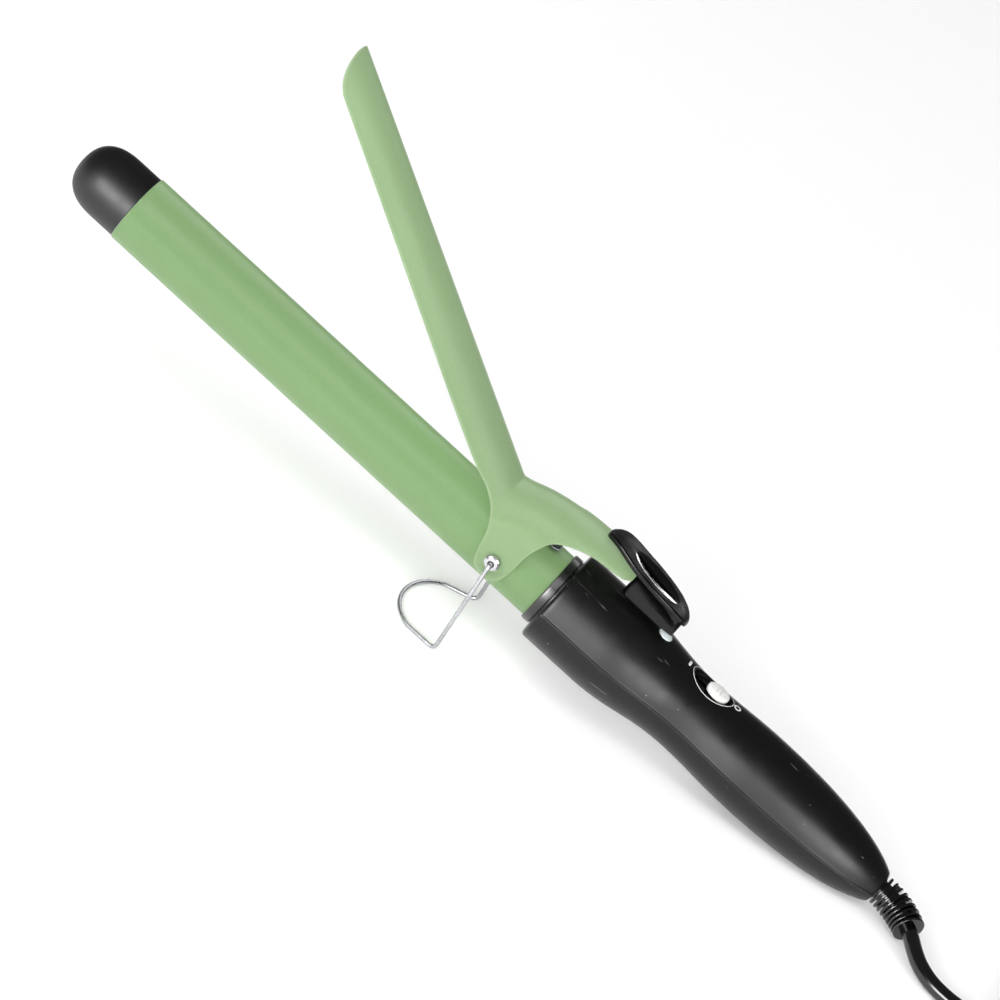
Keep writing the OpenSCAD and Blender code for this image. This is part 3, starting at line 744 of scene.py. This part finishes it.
def shell_half(upper):
    """One of the handle's two shells, with a small chamfer along the parting line."""
    xs = [front_x + d for d in (0, 0.06, 0.2, 0.45, 0.8, front_round, 2.4)] + [front_wall, front_wall + 0.02]
    xs += spaced(4, shoulder_end, 7)
    xs += spaced(shoulder_end, waist_x, 30)[1:] + spaced(waist_x, belly_x, 16)[1:]
    xs += [mix(belly_x, handle_len - tail_wall, math.sin(math.pi / 2 * i / 24)) for i in range(1, 24)]
    xs += [handle_len - tail_wall - 0.02] + spaced(handle_len - tail_wall, handle_len - 1, 8)
    xs += [handle_len - d for d in (0.8, 0.6, 0.4, 0.25, 0.12, 0.04, 0)]
    count = 72
    way = 1 if upper else -1
    rows = []
    for x in xs:
        outer, inner = section_r(x, 0, upper), cavity_r(x)
        rim = [(outer - 0.34, 0.03), (outer - 0.16, 0.07), (outer - 0.03, 0.24)]
        start = math.asin(0.45 / outer)
        turns = spaced(start, math.pi - start, count)
        arc = [(section_r(x, a, upper) * math.cos(a), section_r(x, a, upper) * math.sin(a)) for a in turns]
        skin_line = rim + arc + [(-y, z) for y, z in reversed(rim)]
        turns = spaced(0.03 / inner, math.pi - 0.03 / inner, len(skin_line))
        inside = [(inner * math.cos(a), inner * math.sin(a)) for a in turns]
        rows.append([Vector((x, y, z * way)) for y, z in skin_line + inside[::-1]])
    points, faces = skin(rows, ends=False)
    width = len(rows[0])
    for base in (0, (len(rows) - 1) * width):
        for k in range(width // 2 - 1):
            a, b = base + k, base + width - 1 - k
            faces.append((a, a + 1, b - 1, b))
    return points, faces


def standing(part, x, y, z):
    """A part drawn along the x axis, stood up along z."""
    return moved(part, Matrix.Translation((x, y, z)) @ Matrix.Rotation(-math.pi / 2, 4, "Y"))


def rod(x0, x1, r, sides=48):
    return lathe([(x0, 0), (x0, r), (x1, r), (x1, 0)], sides)


def recess_cutter():
    """The switch's oval recess, with a filleted floor and a lip that rolls over onto the handle's surface."""
    steps = [(-0.6, 0.0), (-0.25, 0.08), (0, 0.45)]
    lip = [(0, -0.6), (0.05, -0.3), (0.17, -0.1), (0.38, 0.0), (0.6, 0.03), (0.7, 1.2)]
    rows = []
    for out, rise in steps:
        rows.append([
            Vector((recess_x + x, y, recess_floor + rise))
            for x, y in oval(recess_half[0] + out, recess_half[1] + out, 2, 96)
        ])
    for out, rise in lip:
        rows.append([
            on_handle(recess_x + x, y) + Vector((0, 0, rise))
            for x, y in oval(recess_half[0] + out, recess_half[1] + out, 2, 96)
        ])
    return skin(rows)


def box_part(low, high):
    (x0, x1), (y0, y1), zs = zip(low, high)
    return skin([[(x0, y0, z), (x1, y0, z), (x1, y1, z), (x0, y1, z)] for z in zs])


def make_upper_shell():
    shell = build("handle_upper", [shell_half(True)], IRON)
    slot_half = 4.7
    slot = box_part((recess_x - slot_half, -1.4, 8), (recess_x + slot_half, 1.4, recess_floor + 0.5))
    lens_top = handle_r(lens_x)
    hole = [(5, 0), (5, lens_r + 0.05), (lens_top - 0.3, lens_r + 0.05), (lens_top + 0.1, lens_r + 0.5)]
    hole += [(lens_top + 2, lens_r + 0.5), (lens_top + 2, 0)]
    cutters = [recess_cutter(), slot, standing(lathe(hole, 64), lens_x, 0, 0)]
    combined(shell, [build(f"cut_{i}", [part], IRON) for i, part in enumerate(cutters)], "DIFFERENCE")
    dress(shell, "handle_plastic", "root", ["handle_upper_shell"], sharp=40)


def make_lower_shell():
    shell = build("handle_lower", [shell_half(False)], IRON)
    bosses = [standing(rod(1 - handle_r(x), -0.3, 4), x, 0, 0) for x in screw_xs]
    combined(shell, [build(f"boss_{i}", [part], IRON) for i, part in enumerate(bosses)], "UNION")
    wells = []
    for x in screw_xs:
        r = handle_r(x)
        profile = [(-r - 2, 0), (-r - 2, 3.6), (-r - 0.15, 3.6), (-r + 0.45, 2.9), (-screw_seat, 2.9)]
        profile += [(-screw_seat, 1.5), (1, 1.5), (1, 0)]
        wells.append(standing(lathe(profile, 64), x, 0, 0))
    combined(shell, [build(f"well_{i}", [part], IRON) for i, part in enumerate(wells)], "DIFFERENCE")
    dress(shell, "handle_plastic", "root", ["handle_lower_shell"], sharp=40)


def make_switch():
    """The sliding knob: an oval cushion with three grip ridges across it, on a stem."""
    half_x = (slider_high.x - slider_low.x) / 2
    half_y = (slider_high.y - slider_low.y) / 2
    middle = (slider_high.x + slider_low.x) / 2
    base = waist_r - 1.3
    side = slider_high.z - 0.75
    rows = [(0.98, base), (1, base + 0.12), (1, side - 0.3), (0.985, side - 0.08), (0.95, side + 0.06)]
    rings = [[Vector((middle + x, y, z)) for x, y in oval(half_x * k, half_y * k, 2.2, 96)] for k, z in rows]
    for share in spaced(0.9, 0.02, 26):
        ring = []
        for x, y in oval(half_x * share, half_y * share, 2.2, 96):
            ridge = max(0.0, math.cos((x / 1.55) * math.pi)) ** 0.7 * smooth((2.6 - abs(x)) / 0.4)
            crown = 0.1 + 0.25 * (1 - share ** 2)
            ring.append(Vector((middle + x, y, side + crown + 0.42 * ridge * smooth((0.93 - share) / 0.16))))
        rings.append(ring)
    stem = box_part((middle - 1.5, -1.1, recess_floor - 1.8), (middle + 1.5, 1.1, base + 0.5))
    knob = build("switch_knob", [skin(rings), stem], IRON)
    dress(knob, "white_plastic", "switch", ["switch_slider"], sharp=50)


def raised_patch(rows, lift=0.05):
    """A thin raised patch, for a printed mark or a painted highlight line: two outlines of (x, y) on the
    handle's surface, filled between them.
    """
    sides = [[on_handle(x, y, -0.1) for x, y in rows[0]], [on_handle(x, y, lift) for x, y in rows[0]]]
    sides += [[on_handle(x, y, lift) for x, y in rows[1]], [on_handle(x, y, -0.1) for x, y in rows[1]]]
    return skin(sides + [sides[0]], ends=False)


def make_print_and_lip_highlight():
    """A ring for off behind the switch, a bar for on in front of it, and a fine pale line round the recess,
    which is a painted highlight along the recess lip, not print.
    """
    ring_x = recess_x + 10.4
    bar_x = recess_x - 10.6
    ring = [[(ring_x + x, y) for x, y in oval(r, r, 2, 48)] for r in (1.3, 0.85)]
    bar = [[(bar_x + x, y) for x, y in oval(a, b, 8, 32)] for a, b in ((0.45, 1.5), (0.02, 1.2))]
    # the fine pale line round the recess is a painted highlight along the recess lip
    line = []
    for out in (0.85, 0.68):
        line.append([(recess_x + x, y) for x, y in oval(recess_half[0] + out, recess_half[1] + out, 2, 96)])
    marks = build("switch_marks", [raised_patch(ring), raised_patch(bar), raised_patch(line)], IRON)
    dress(marks, "white_plastic", "root", [])


def make_lens():
    top = handle_r(lens_x)
    profile = [(top - 3.2, 0), (top - 3.2, lens_r), (top - 0.35, lens_r)]
    for i in range(1, 13):
        a = math.pi / 2 * i / 12
        profile.append((top - 0.35 + 0.95 * math.sin(a), lens_r * math.cos(a) if i < 12 else 0))
    lens = build("pilot_lens", [standing(lathe(profile, 64), lens_x, 0, 0)], IRON)
    dress(lens, "white_plastic", "root", ["lamp_lens"], sharp=40, look="lens_white")


# ---- strain relief ----

relief_len = 17.8
relief_bend = math.radians(48)
relief_neck_r = 4.15


def relief_frame(share):
    """Where the boot's middle line is and which way it points, share of the way along its bend."""
    turn_r = relief_len / relief_bend
    a = relief_bend * share
    place = Vector((handle_len + turn_r * math.sin(a), -turn_r * (1 - math.cos(a)), 0))
    return Matrix.Translation(place) @ Matrix.Rotation(-a, 4, "Z")


def make_relief():
    ribs = 9
    half = 0.5
    shares = [(i + 0.75) / ribs for i in range(ribs)]
    core = [relief_frame(s / 16).translation for s in range(17)]
    parts = [
        rod(handle_len - tail_wall - 3, handle_len - tail_wall - 0.1, relief_neck_r + 1.4),
        rod(handle_len - tail_wall - 1, handle_len + 0.4, relief_neck_r),
        sweep(core, circle(3.5, 32), (0, 0, 1)),
    ]
    for i, share in enumerate(shares):
        r = 5.4 + 0.3 * math.sin(math.pi * share)
        profile = rounded([(-half, 3.2, 0), (-half, r, 0.4), (half, r, 0.4), (half, 3.2, 0)], 4)
        parts.append(moved(lathe(profile, 64), relief_frame(min(share, 1))))
        if i == 0:
            continue
        webs = [relief_frame(mix(shares[i - 1], share, t)) for t in (0, 0.5, 1)]
        for k in (0, 1):
            middle = math.pi * k + math.pi / 4 + (math.pi / 2 if i % 2 else 0)
            rows = []
            for web in webs:
                ring = []
                for spin, reach in ((-0.3, 3.3), (-0.3, r - 0.5), (0, r - 0.42), (0.3, r - 0.5), (0.3, 3.3)):
                    a = middle + spin
                    ring.append(web @ Vector((0, reach * math.cos(a), reach * math.sin(a))))
                rows.append(ring)
            parts.append(skin(rows))
    relief = build("cord_boot", parts, IRON)
    dress(relief, "relief_rubber", "root", ["strain_relief"], sharp=45)


# ---- clamp ----

open_angle = math.radians(30.4)
sheet = 0.8
sheet_r = barrel_r + 0.3 + sheet / 2
blade_len = 170
blade_arc = 64.5


def turned(x, z, angle):
    """A point in x and z after a turn about the y axis."""
    return x * math.cos(angle) + z * math.sin(angle), z * math.cos(angle) - x * math.sin(angle)


def blade_station(back, arc):
    """Crown, lower edge, half width and height of the arch, where the blade is back from the pivot."""
    edge = sheet_r * math.cos(math.radians(arc))
    return (*turned(-back, sheet_r, open_angle), *turned(-back, edge, open_angle), sheet_r, sheet_r)


def arc_at(back):
    """The blade's arch narrows a little towards its tip."""
    return blade_arc - 6 * clamped((back - 55) / (blade_len - 55))


def clamp_stations():
    """Stations across the sheet, from the blade's tip over the ears to the arm's end, from the pivot."""
    tip_round = 12.5
    stations = []
    for i in range(1, 13):
        a = math.pi / 24 * i
        back = blade_len - tip_round * (1 - math.cos(a))
        stations.append(blade_station(back, arc_at(back) * math.sin(a)))
    stations += [blade_station(back, arc_at(back)) for back in (140, 115, 90, 70, 55, 42)]
    stations += [blade_station(31, blade_arc - 1), blade_station(25, blade_arc - 4)]
    valley = turned(-21, sheet_r, open_angle)
    # crown from the valley, then the lower edge from the pivot: down, round the ear and up again
    saddle = [
        (0, 0, -13.3, 14.7), (1.2, 0, -11, 12.2), (2.5, 0.3, -9, 8.8), (4, 0.75, -7.5, 4.6),
        (5.5, 1.3, -6.5, 0.4), (7, 1.9, -5, -4), (8.6, 2.5, -2.6, -5.85), (10.2, 3.05, 0, -6.4),
        (11.8, 3.5, 2.6, -5.85), (13.4, 3.9, 5, -4), (14.9, 4.25, 6.35, 0.2), (16.4, 4.55, 6.6, 4.4),
        (18.2, 4.85, 6.7, 8.8), (20.5, 5.2, 7.6, 13.4),
    ]
    for x, z, edge_x, edge_z in saddle:
        stations.append((valley[0] + x, valley[1] + z, edge_x, edge_z, sheet_r, sheet_r))
    # crown from the valley, lower edge from the crown, narrowing of the half width, height of the arch
    arm = [
        (23.5, 5.5, -1.8, -8.2, 0.6, 9.5), (28.5, 5.8, -1, -5.3, 2, 6.2), (34.5, 5.8, -0.5, -3.5, 3, 4.3),
        (40.5, 5.6, -0.2, -2.8, 3.7, 3.3), (45.5, 5.1, 0, -2.3, 5, 2.7), (48.5, 4.6, 0, -1.7, 8, 2),
    ]
    for x, z, edge_x, edge_z, narrower, arch in arm:
        crown = (valley[0] + x, valley[1] + z)
        stations.append((*crown, crown[0] + edge_x, crown[1] + edge_z, sheet_r - narrower, arch))
    return stations


def across_sheet(station, share, out, past=0.0):
    """A point across a station: share runs from 0 at the crown to 1 at the edge, past goes beyond the edge,
    and out is the offset from the middle of the sheet."""
    crown, edge = Vector(station[0:2]), Vector(station[2:4])
    half, arch = station[4], station[5]
    height = (crown - edge).length
    up = (crown - edge) / height
    leg = max(height - arch, 0)
    arc = math.acos(max(1 - height / arch, 0))
    arc_len = half * arc
    run = share * (arc_len + leg)
    a = min(run / arc_len, 1) * arc
    beyond = max(run - arc_len, 0)
    y = (half + out) * math.sin(a)
    z = (arch + out) * math.cos(a) - arch - beyond
    if past:
        y += past * math.cos(a) if leg == 0 else 0
        z -= past * (math.sin(a) if leg == 0 else 1)
    point = crown + up * z
    return Vector((pivot_x + point.x, y, point.y))


def sheet_ring(station, half=20):
    """A closed ring round the sheet at a station, with round rims."""
    shares = [k / half for k in range(half + 1)]
    outer = [across_sheet(station, s, sheet / 2) for s in shares]
    inner = [across_sheet(station, s, -sheet / 2) for s in shares]
    rim = []
    for k in range(1, 6):
        a = math.pi * k / 6
        rim.append(across_sheet(station, 1, sheet / 2 * math.cos(a), sheet / 2 * math.sin(a)))
    near = outer + rim + inner[::-1]
    far = [Vector((p.x, -p.y, p.z)) for p in near[1:-1]]
    return near + far[::-1]


def make_clamp():
    line = curve_through(clamp_stations(), 4)
    rows = [sheet_ring(tuple(station)) for station in line]
    clamp = build("clamp", [skin(rows)], IRON)
    bore = moved(rod(-20, 20, 1.65), ACROSS_PIVOT)
    combined(clamp, [build("cut_bore", [bore], IRON)], "DIFFERENCE")
    dress(clamp, "clamp_coating", "clamp", ["clamp_lever"], sharp=50)
    shade_rims(clamp, line)


def shade_rims(clamp, line):
    """Marks how near each point is to the sheet's rim, where the coating's colour turns paler."""
    back = IRON.inverted()
    edges = []
    for station in line:
        point = across_sheet(tuple(station), 1, 0)
        edges.append(point)
        edges.append(Vector((point.x, -point.y, point.z)))
    tree = KDTree(len(edges))
    for i, point in enumerate(edges):
        tree.insert(point, i)
    tree.balance()
    marks = clamp.data.attributes.new("rim", "FLOAT", "POINT")
    for i, vertex in enumerate(clamp.data.vertices):
        gap = tree.find(back @ vertex.co)[2]
        marks.data[i].value = smooth(1 - (gap - 0.3) / 0.5)


# ---- thumb rest ----

crest_line = curve_through([
    (-3.2, 30.2), (-1, 31.4), (2, 31.9), (6, 31.4), (11, 30.4), (16, 29.7), (21, 28.95), (26, 28.15),
    (30, 27.3), (33, 26.3), (35, 25.2), (36.5, 24),
], 6)


def crest_at(x):
    """Height of the thumb rest's crest."""
    for a, b in zip(crest_line, crest_line[1:]):
        if x <= b.x or b is crest_line[-1]:
            return mix(a.y, b.y, (x - a.x) / (b.x - a.x))


def pad_top(x, y):
    """Height of the pad's top, which has a long dish in it."""
    reach = math.hypot((x - 18.6) / 10.9, y / 4.7)
    return crest_at(x) + 0.1 - 0.85 * max(0, 1 - reach ** 2)


def make_thumb_rest():
    """An arched pad with a long dish for the thumb, on a web that flares out to meet it."""
    middle = (rest_low.x + rest_high.x) / 2 - 0.2
    half_x = (rest_high.x - rest_low.x) / 2
    half_y = rest_high.y
    edge, thick, squareness = 0.6, 2.2, 2.25

    def room(x):
        """Half of the width that the web has under the pad."""
        reach = min(1, abs(x - middle) / (half_x - 0.9))
        return (half_y - 0.9) * (1 - reach ** squareness) ** (1 / squareness)

    def ring(inset, level):
        return [
            Vector((middle + x, y, level(middle + x, y)))
            for x, y in oval(half_x - inset, half_y - inset, squareness, 160)
        ]

    rows = [ring(inset, pad_top) for inset in spaced(half_y * 0.98, edge, 36)]
    for k in range(1, 6):
        a = math.pi / 2 * k / 5
        rows.append(ring(edge * (1 - math.sin(a)), lambda x, y: pad_top(x, y) - edge * (1 - math.cos(a))))
    for k in range(1, 6):
        a = math.pi / 2 * k / 5
        low = thick - 0.8 + 0.8 * math.sin(a)
        rows.append(ring(1.4 * (1 - math.cos(a)), lambda x, y: pad_top(x, y) - low))
    rows += [ring(inset, lambda x, y: crest_at(x) - thick) for inset in spaced(2.4, half_y * 0.98, 8)]
    web_middle, web_half, web_wide, web_high, buried = 24.2, 11.2, 3.1, 9.4, 1.6
    foot = shoulder_r + 0.8
    levels = [(0, -0.3), (0.25, 0), (3, 0.05), (5, 0.3), (6.5, 0.8), (7.6, 1.5), (8.6, 2.4), (web_high, 3.1)]
    web_rows = []
    for rise, flare in levels:
        lean = 1 - smooth(rise / web_high)
        row = []
        for x, y in oval(web_half + flare * 0.1, web_wide + flare * 1.1, 4, 128):
            x = min(web_middle + x, middle + half_x - 1.2)
            widest = max(room(x), web_wide * lean, 0.4)
            level = mix(foot + rise, crest_at(x) - buried - web_high + rise, 1 - lean)
            row.append(Vector((x, math.copysign(min(abs(y), widest), y), level)))
        web_rows.append(row)
    pad = build("thumb_rest_pad", [skin(rows), skin(web_rows)], IRON)
    dress(pad, "gloss_black", "clamp", ["thumb_rest"], sharp=40)


# ---- leaf spring ----

def make_spring():
    """A strip riveted under the arm. Its free end bears on the barrel and stays there at any pose."""
    width, thick = 9, 0.5
    tip = Vector((10.2, barrel_r + 0.3))
    root = Vector((23.07, 26.41))
    toe, shin = tip + Vector((3, 1.6)), tip + Vector((-4, 6))
    heel = Vector((tip.x - 4.5, root.y + 0.3))
    line = []
    for a, b, c, count in ((toe, tip - Vector((1.5, 1)), shin, 24), (shin, heel, root, 24)):
        for i in range(count):
            t = i / count
            line.append(mix(mix(a, b, t), mix(b, c, t), t))
    line.append(root)
    path = [Vector((pivot_x + p.x, 0, p.y + thick / 2)) for p in line]
    spring = build("leaf_spring", [sweep(path, strip(width, thick, 0.15), (1, 0, 0))], IRON)
    spring.data.materials.append(looks["spring_steel"])
    spring.data.shade_smooth()
    spring.data.set_sharp_from_angle(angle=math.radians(35))
    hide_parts("clamp_spring")
    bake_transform(spring)


# ---- rivets and stand ----

def make_rivets():
    hollow = 0.8
    face = rivet_high.y
    head = face - 2.1
    profile = rounded([
        (head - 1.5, hollow, 0), (head - 1.5, 1.6, 0), (head, 1.6, 0), (head, 2.8, 0.2),
        (face - 0.9, 2.8, 0.5), (face, 2.0, 0.35), (face, 1.2, 0.2), (face - 0.5, hollow, 0),
    ], 5)
    rivet = moved(lathe(profile, 64), ACROSS_PIVOT)
    rivets = build("hollow_rivets", [rivet, flipped(rivet)], IRON)
    dress(rivets, "bright_metal", "root", ["pivot_rivets"], sharp=40)


def make_stand():
    """One length of wire: out of a rivet, down a leg, round the foot, and up to the other rivet."""
    tilt = math.asin(-along.z)
    radius = 0.75
    hip_y = rivet_high.y + 1.2
    foot_x, foot_z = pivot_x + 5, -34.4
    foot_half, depth = shoulder_r + 4.4, 20.3
    half = [(pivot_x, hip_y - 4.5, 0, 0), (pivot_x, hip_y, 0, 1.5), (foot_x, foot_half, foot_z, 2.6)]
    for angle in range(58, -1, -2):
        a = math.radians(angle)
        d = depth * math.cos(a) ** (2 / 2.3)
        half.append((foot_x - d * math.cos(tilt), foot_half * math.sin(a), foot_z - d * math.sin(tilt), 0))
    whole = half + [(x, -y, z, r) for x, y, z, r in reversed(half[:-1])]
    path = rounded(whole, 9)
    stand = build("stand", [sweep(path, circle(radius, 20), (0, 0, 1))], IRON)
    dress(stand, "stand_wire", "stand", ["wire_stand"])


# ---- plug and tie ----

def make_plug():
    """Flat two-pin plug: a ribbed cord end, and a grip that widens to the pins' face."""
    start = plug_low.x
    mid_y, mid_z = (plug_low.y + plug_high.y) / 2, (plug_low.z + plug_high.z) / 2
    widths = [
        (0, 3.5, 3.5, 2), (9, 4.9, 4.7, 2.2), (12, 7.2, 5.6, 2.6), (16, 9.6, 6.4, 3), (22, 11.8, 6.85, 3.4),
        (29, 12.7, 6.95, 3.6), (34.2, 12.95, 6.95, 3.6), (35.4, 12.6, 6.7, 3.6), (36, 11.7, 6.0, 3.4),
    ]
    rows = []
    for x, half_y, half_z, power in curve_through(widths, 6):
        groove = 0
        if 1 < x < 9:
            groove = 0.55 * max(0.0, math.cos(x * math.pi * 2 / 2.6)) ** 2
        if 14 < x < 27:
            groove = 0.35 * max(0.0, math.cos((x - 14.5) * math.pi * 2 / 2.6)) ** 4
        ring = oval(half_y - groove, half_z - groove, max(power, 2), 96)
        rows.append([Vector((start + x, mid_y + y, mid_z + z)) for y, z in ring])
    plug = build("plug", [skin(rows)], TABLE)
    dress(plug, "cord_jacket", "root", ["plug_body"], sharp=40)

    face, tip = plug_high.x, pins_high.x
    spread = (pins_high.y - pins_low.y) / 2 - 2
    pins, sleeves = [], []
    for way in (-1, 1):
        at = Matrix.Translation((0, mid_y + way * spread, mid_z))
        metal_part = rounded([(face - 1, 0, 0), (face - 1, 1.95, 0), (tip, 1.95, 1.2), (tip, 0, 0)], 6)
        pins.append(moved(lathe([tuple(p) for p in metal_part], 48), at))
        sleeve = [(face - 1, 1.9), (face - 1, 2.0), (face + 9.5, 2.0), (face + 9.8, 1.9)]
        sleeves.append(moved(lathe(sleeve, 48), at))
    pin_pair = build("plug_pin_pair", pins, TABLE)
    dress(pin_pair, "pin_brass", "root", ["plug_pins"], sharp=40)
    sleeve_pair = build("pin_sleeves", sleeves, TABLE)
    dress(sleeve_pair, "cord_jacket", "root", [], sharp=40)


def make_tie():
    """A hook-and-loop strap round the middle of the hank, with its end lapped over the top."""
    x = (tie_low.x + tie_high.x) / 2
    thick = 0.8
    corner = cord_r + thick / 2
    ys = (tie_low.y + thick / 2, tie_high.y - thick / 2)
    zs = (tie_low.z + thick / 2, tie_high.z - thick / 2)
    loop = rounded([
        (x, ys[0], zs[0], corner), (x, ys[1], zs[0], corner),
        (x, ys[1], zs[1], corner), (x, ys[0], zs[1], corner),
    ], 8, closed=True)
    section = strip(tie_high.x - tie_low.x, thick, 0.3)
    top = zs[1] + thick
    lap = curve_through([
        (x, ys[0] + 6, zs[1] + 0.15), (x, ys[0] + 8, top), (x, ys[0] + 20, top), (x, ys[0] + 30, top),
        (x, ys[0] + 33, top + 0.5),
    ], 6)
    band = sweep(dense(loop), section, (0, 1, 0), closed=True)
    tie = build("cord_strap", [band, sweep(lap, section, (0, 0, 1))], TABLE)
    dress(tie, "tie_fabric", "root", ["cord_tie"], sharp=50)


def dense(loop):
    """A closed line with a point about every two millimetres."""
    out = []
    for a, b in zip(loop, loop[1:] + loop[:1]):
        steps = max(1, round((b - a).length / 2))
        out += [mix(a, b, k / steps) for k in range(steps)]
    return out


# ---- pieces inside ----

def dress_inner_pieces():
    """The CAD nodes that stay: each takes the material of its slot."""
    for part in frame["record"]["subparts"]:
        node = frame["nodes"][part["node"]]
        if not node.hide_render:
            node.data.materials.clear()
            node.data.materials.append(looks[part["material_slot"]])


# ---- studio ----

def area_light(name, offset, size, power):
    """A soft lamp at an offset from the point that the camera looks at, and turned to it."""
    offset = Vector(offset)
    data = bpy.data.lights.new(name, "AREA")
    data.shape = "RECTANGLE"
    data.size, data.size_y = size
    data.energy = power
    lamp = bpy.data.objects.new(name, data)
    lamp.location = view_target + offset
    lamp.rotation_euler = (-offset).to_track_quat("-Z", "Y").to_euler()
    bpy.context.scene.collection.objects.link(lamp)
    return lamp


def only(name, names):
    """The collection of the named objects, for a light to reach or be blocked by."""
    group = bpy.data.collections.new(name)
    for thing in bpy.data.objects:
        if thing.name in names:
            group.objects.link(thing)
    return group


def all_but(name, names):
    return only(name, [thing.name for thing in bpy.data.objects if thing.name not in names])


def make_studio():
    rows = [[(x, y, 0) for x in (-6000, 6000)] for y in (-6000, 6000)]
    floor = build("floor", [skin(rows, closed=False, ends=False)], TABLE)
    pale = Look("floor_paper", (250, 250, 250))
    pale.tone(pale.ranged(pale.noise(3, 2.0), 0.3, 0.7), 0.99, 1.01)
    pale.gloss(pale.noise(20), 0.85, 0.95)
    floor.data.materials.append(pale.done())

    world = bpy.data.worlds.new("studio")
    world.use_nodes = True
    world.node_tree.nodes["Background"].inputs["Color"].default_value = (1, 1, 1, 1)
    world.node_tree.nodes["Background"].inputs["Strength"].default_value = 0.14
    bpy.context.scene.world = world

    green = ["barrel", "clamp"]
    black = [
        "tip_cap_shell", "handle_upper", "handle_lower", "thumb_rest_pad", "cord_boot", "cord", "plug",
        "pin_sleeves", "cord_strap",
    ]
    # low strips give the black parts their highlights
    strips = [
        area_light("front_left", (-0.27, -1.2, 0.25), (0.7, 0.56), 19),
        area_light("front_right", (0.75, -1.2, 0.22), (0.6, 0.5), 11),
    ]
    # high boxes light the rest, through the clamp, which leaves no hard shadow on the barrel
    boxes = [
        area_light("front_fill", (-0.1, -0.95, 1.1), (1.2, 0.8), 7),
        area_light("back_box", (0, 1.15, 1.15), (1.6, 1.2), 11),
        area_light("left_box", (-1.4, -0.8, 1.15), (1.4, 1.4), 15),
        area_light("right_box", (1.4, -0.8, 1.15), (1.4, 1.4), 15),
    ]
    rim = area_light("rim_strip", (0.05, 1.2, 0.13), (0.8, 0.3), 11)
    strip_receivers = all_but("strip_receivers", green)
    for lamp in strips:
        lamp.light_linking.receiver_collection = strip_receivers
    box_receivers = all_but("box_receivers", black)
    box_blockers = all_but("box_blockers", ["clamp", "thumb_rest_pad"])
    for lamp in boxes:
        lamp.light_linking.receiver_collection = box_receivers
        lamp.light_linking.blocker_collection = box_blockers
    rim.light_linking.receiver_collection = only("rim_receivers", ["thumb_rest_pad"])


make_barrel()
make_cap()
make_collar()
make_upper_shell()
make_lower_shell()
make_switch()
make_print_and_lip_highlight()
make_lens()
make_relief()
make_clamp()
make_thumb_rest()
make_spring()
make_rivets()
make_stand()
make_plug()
make_tie()
dress_inner_pieces()
make_studio()
bpy.context.scene.view_settings.view_transform = "Standard"
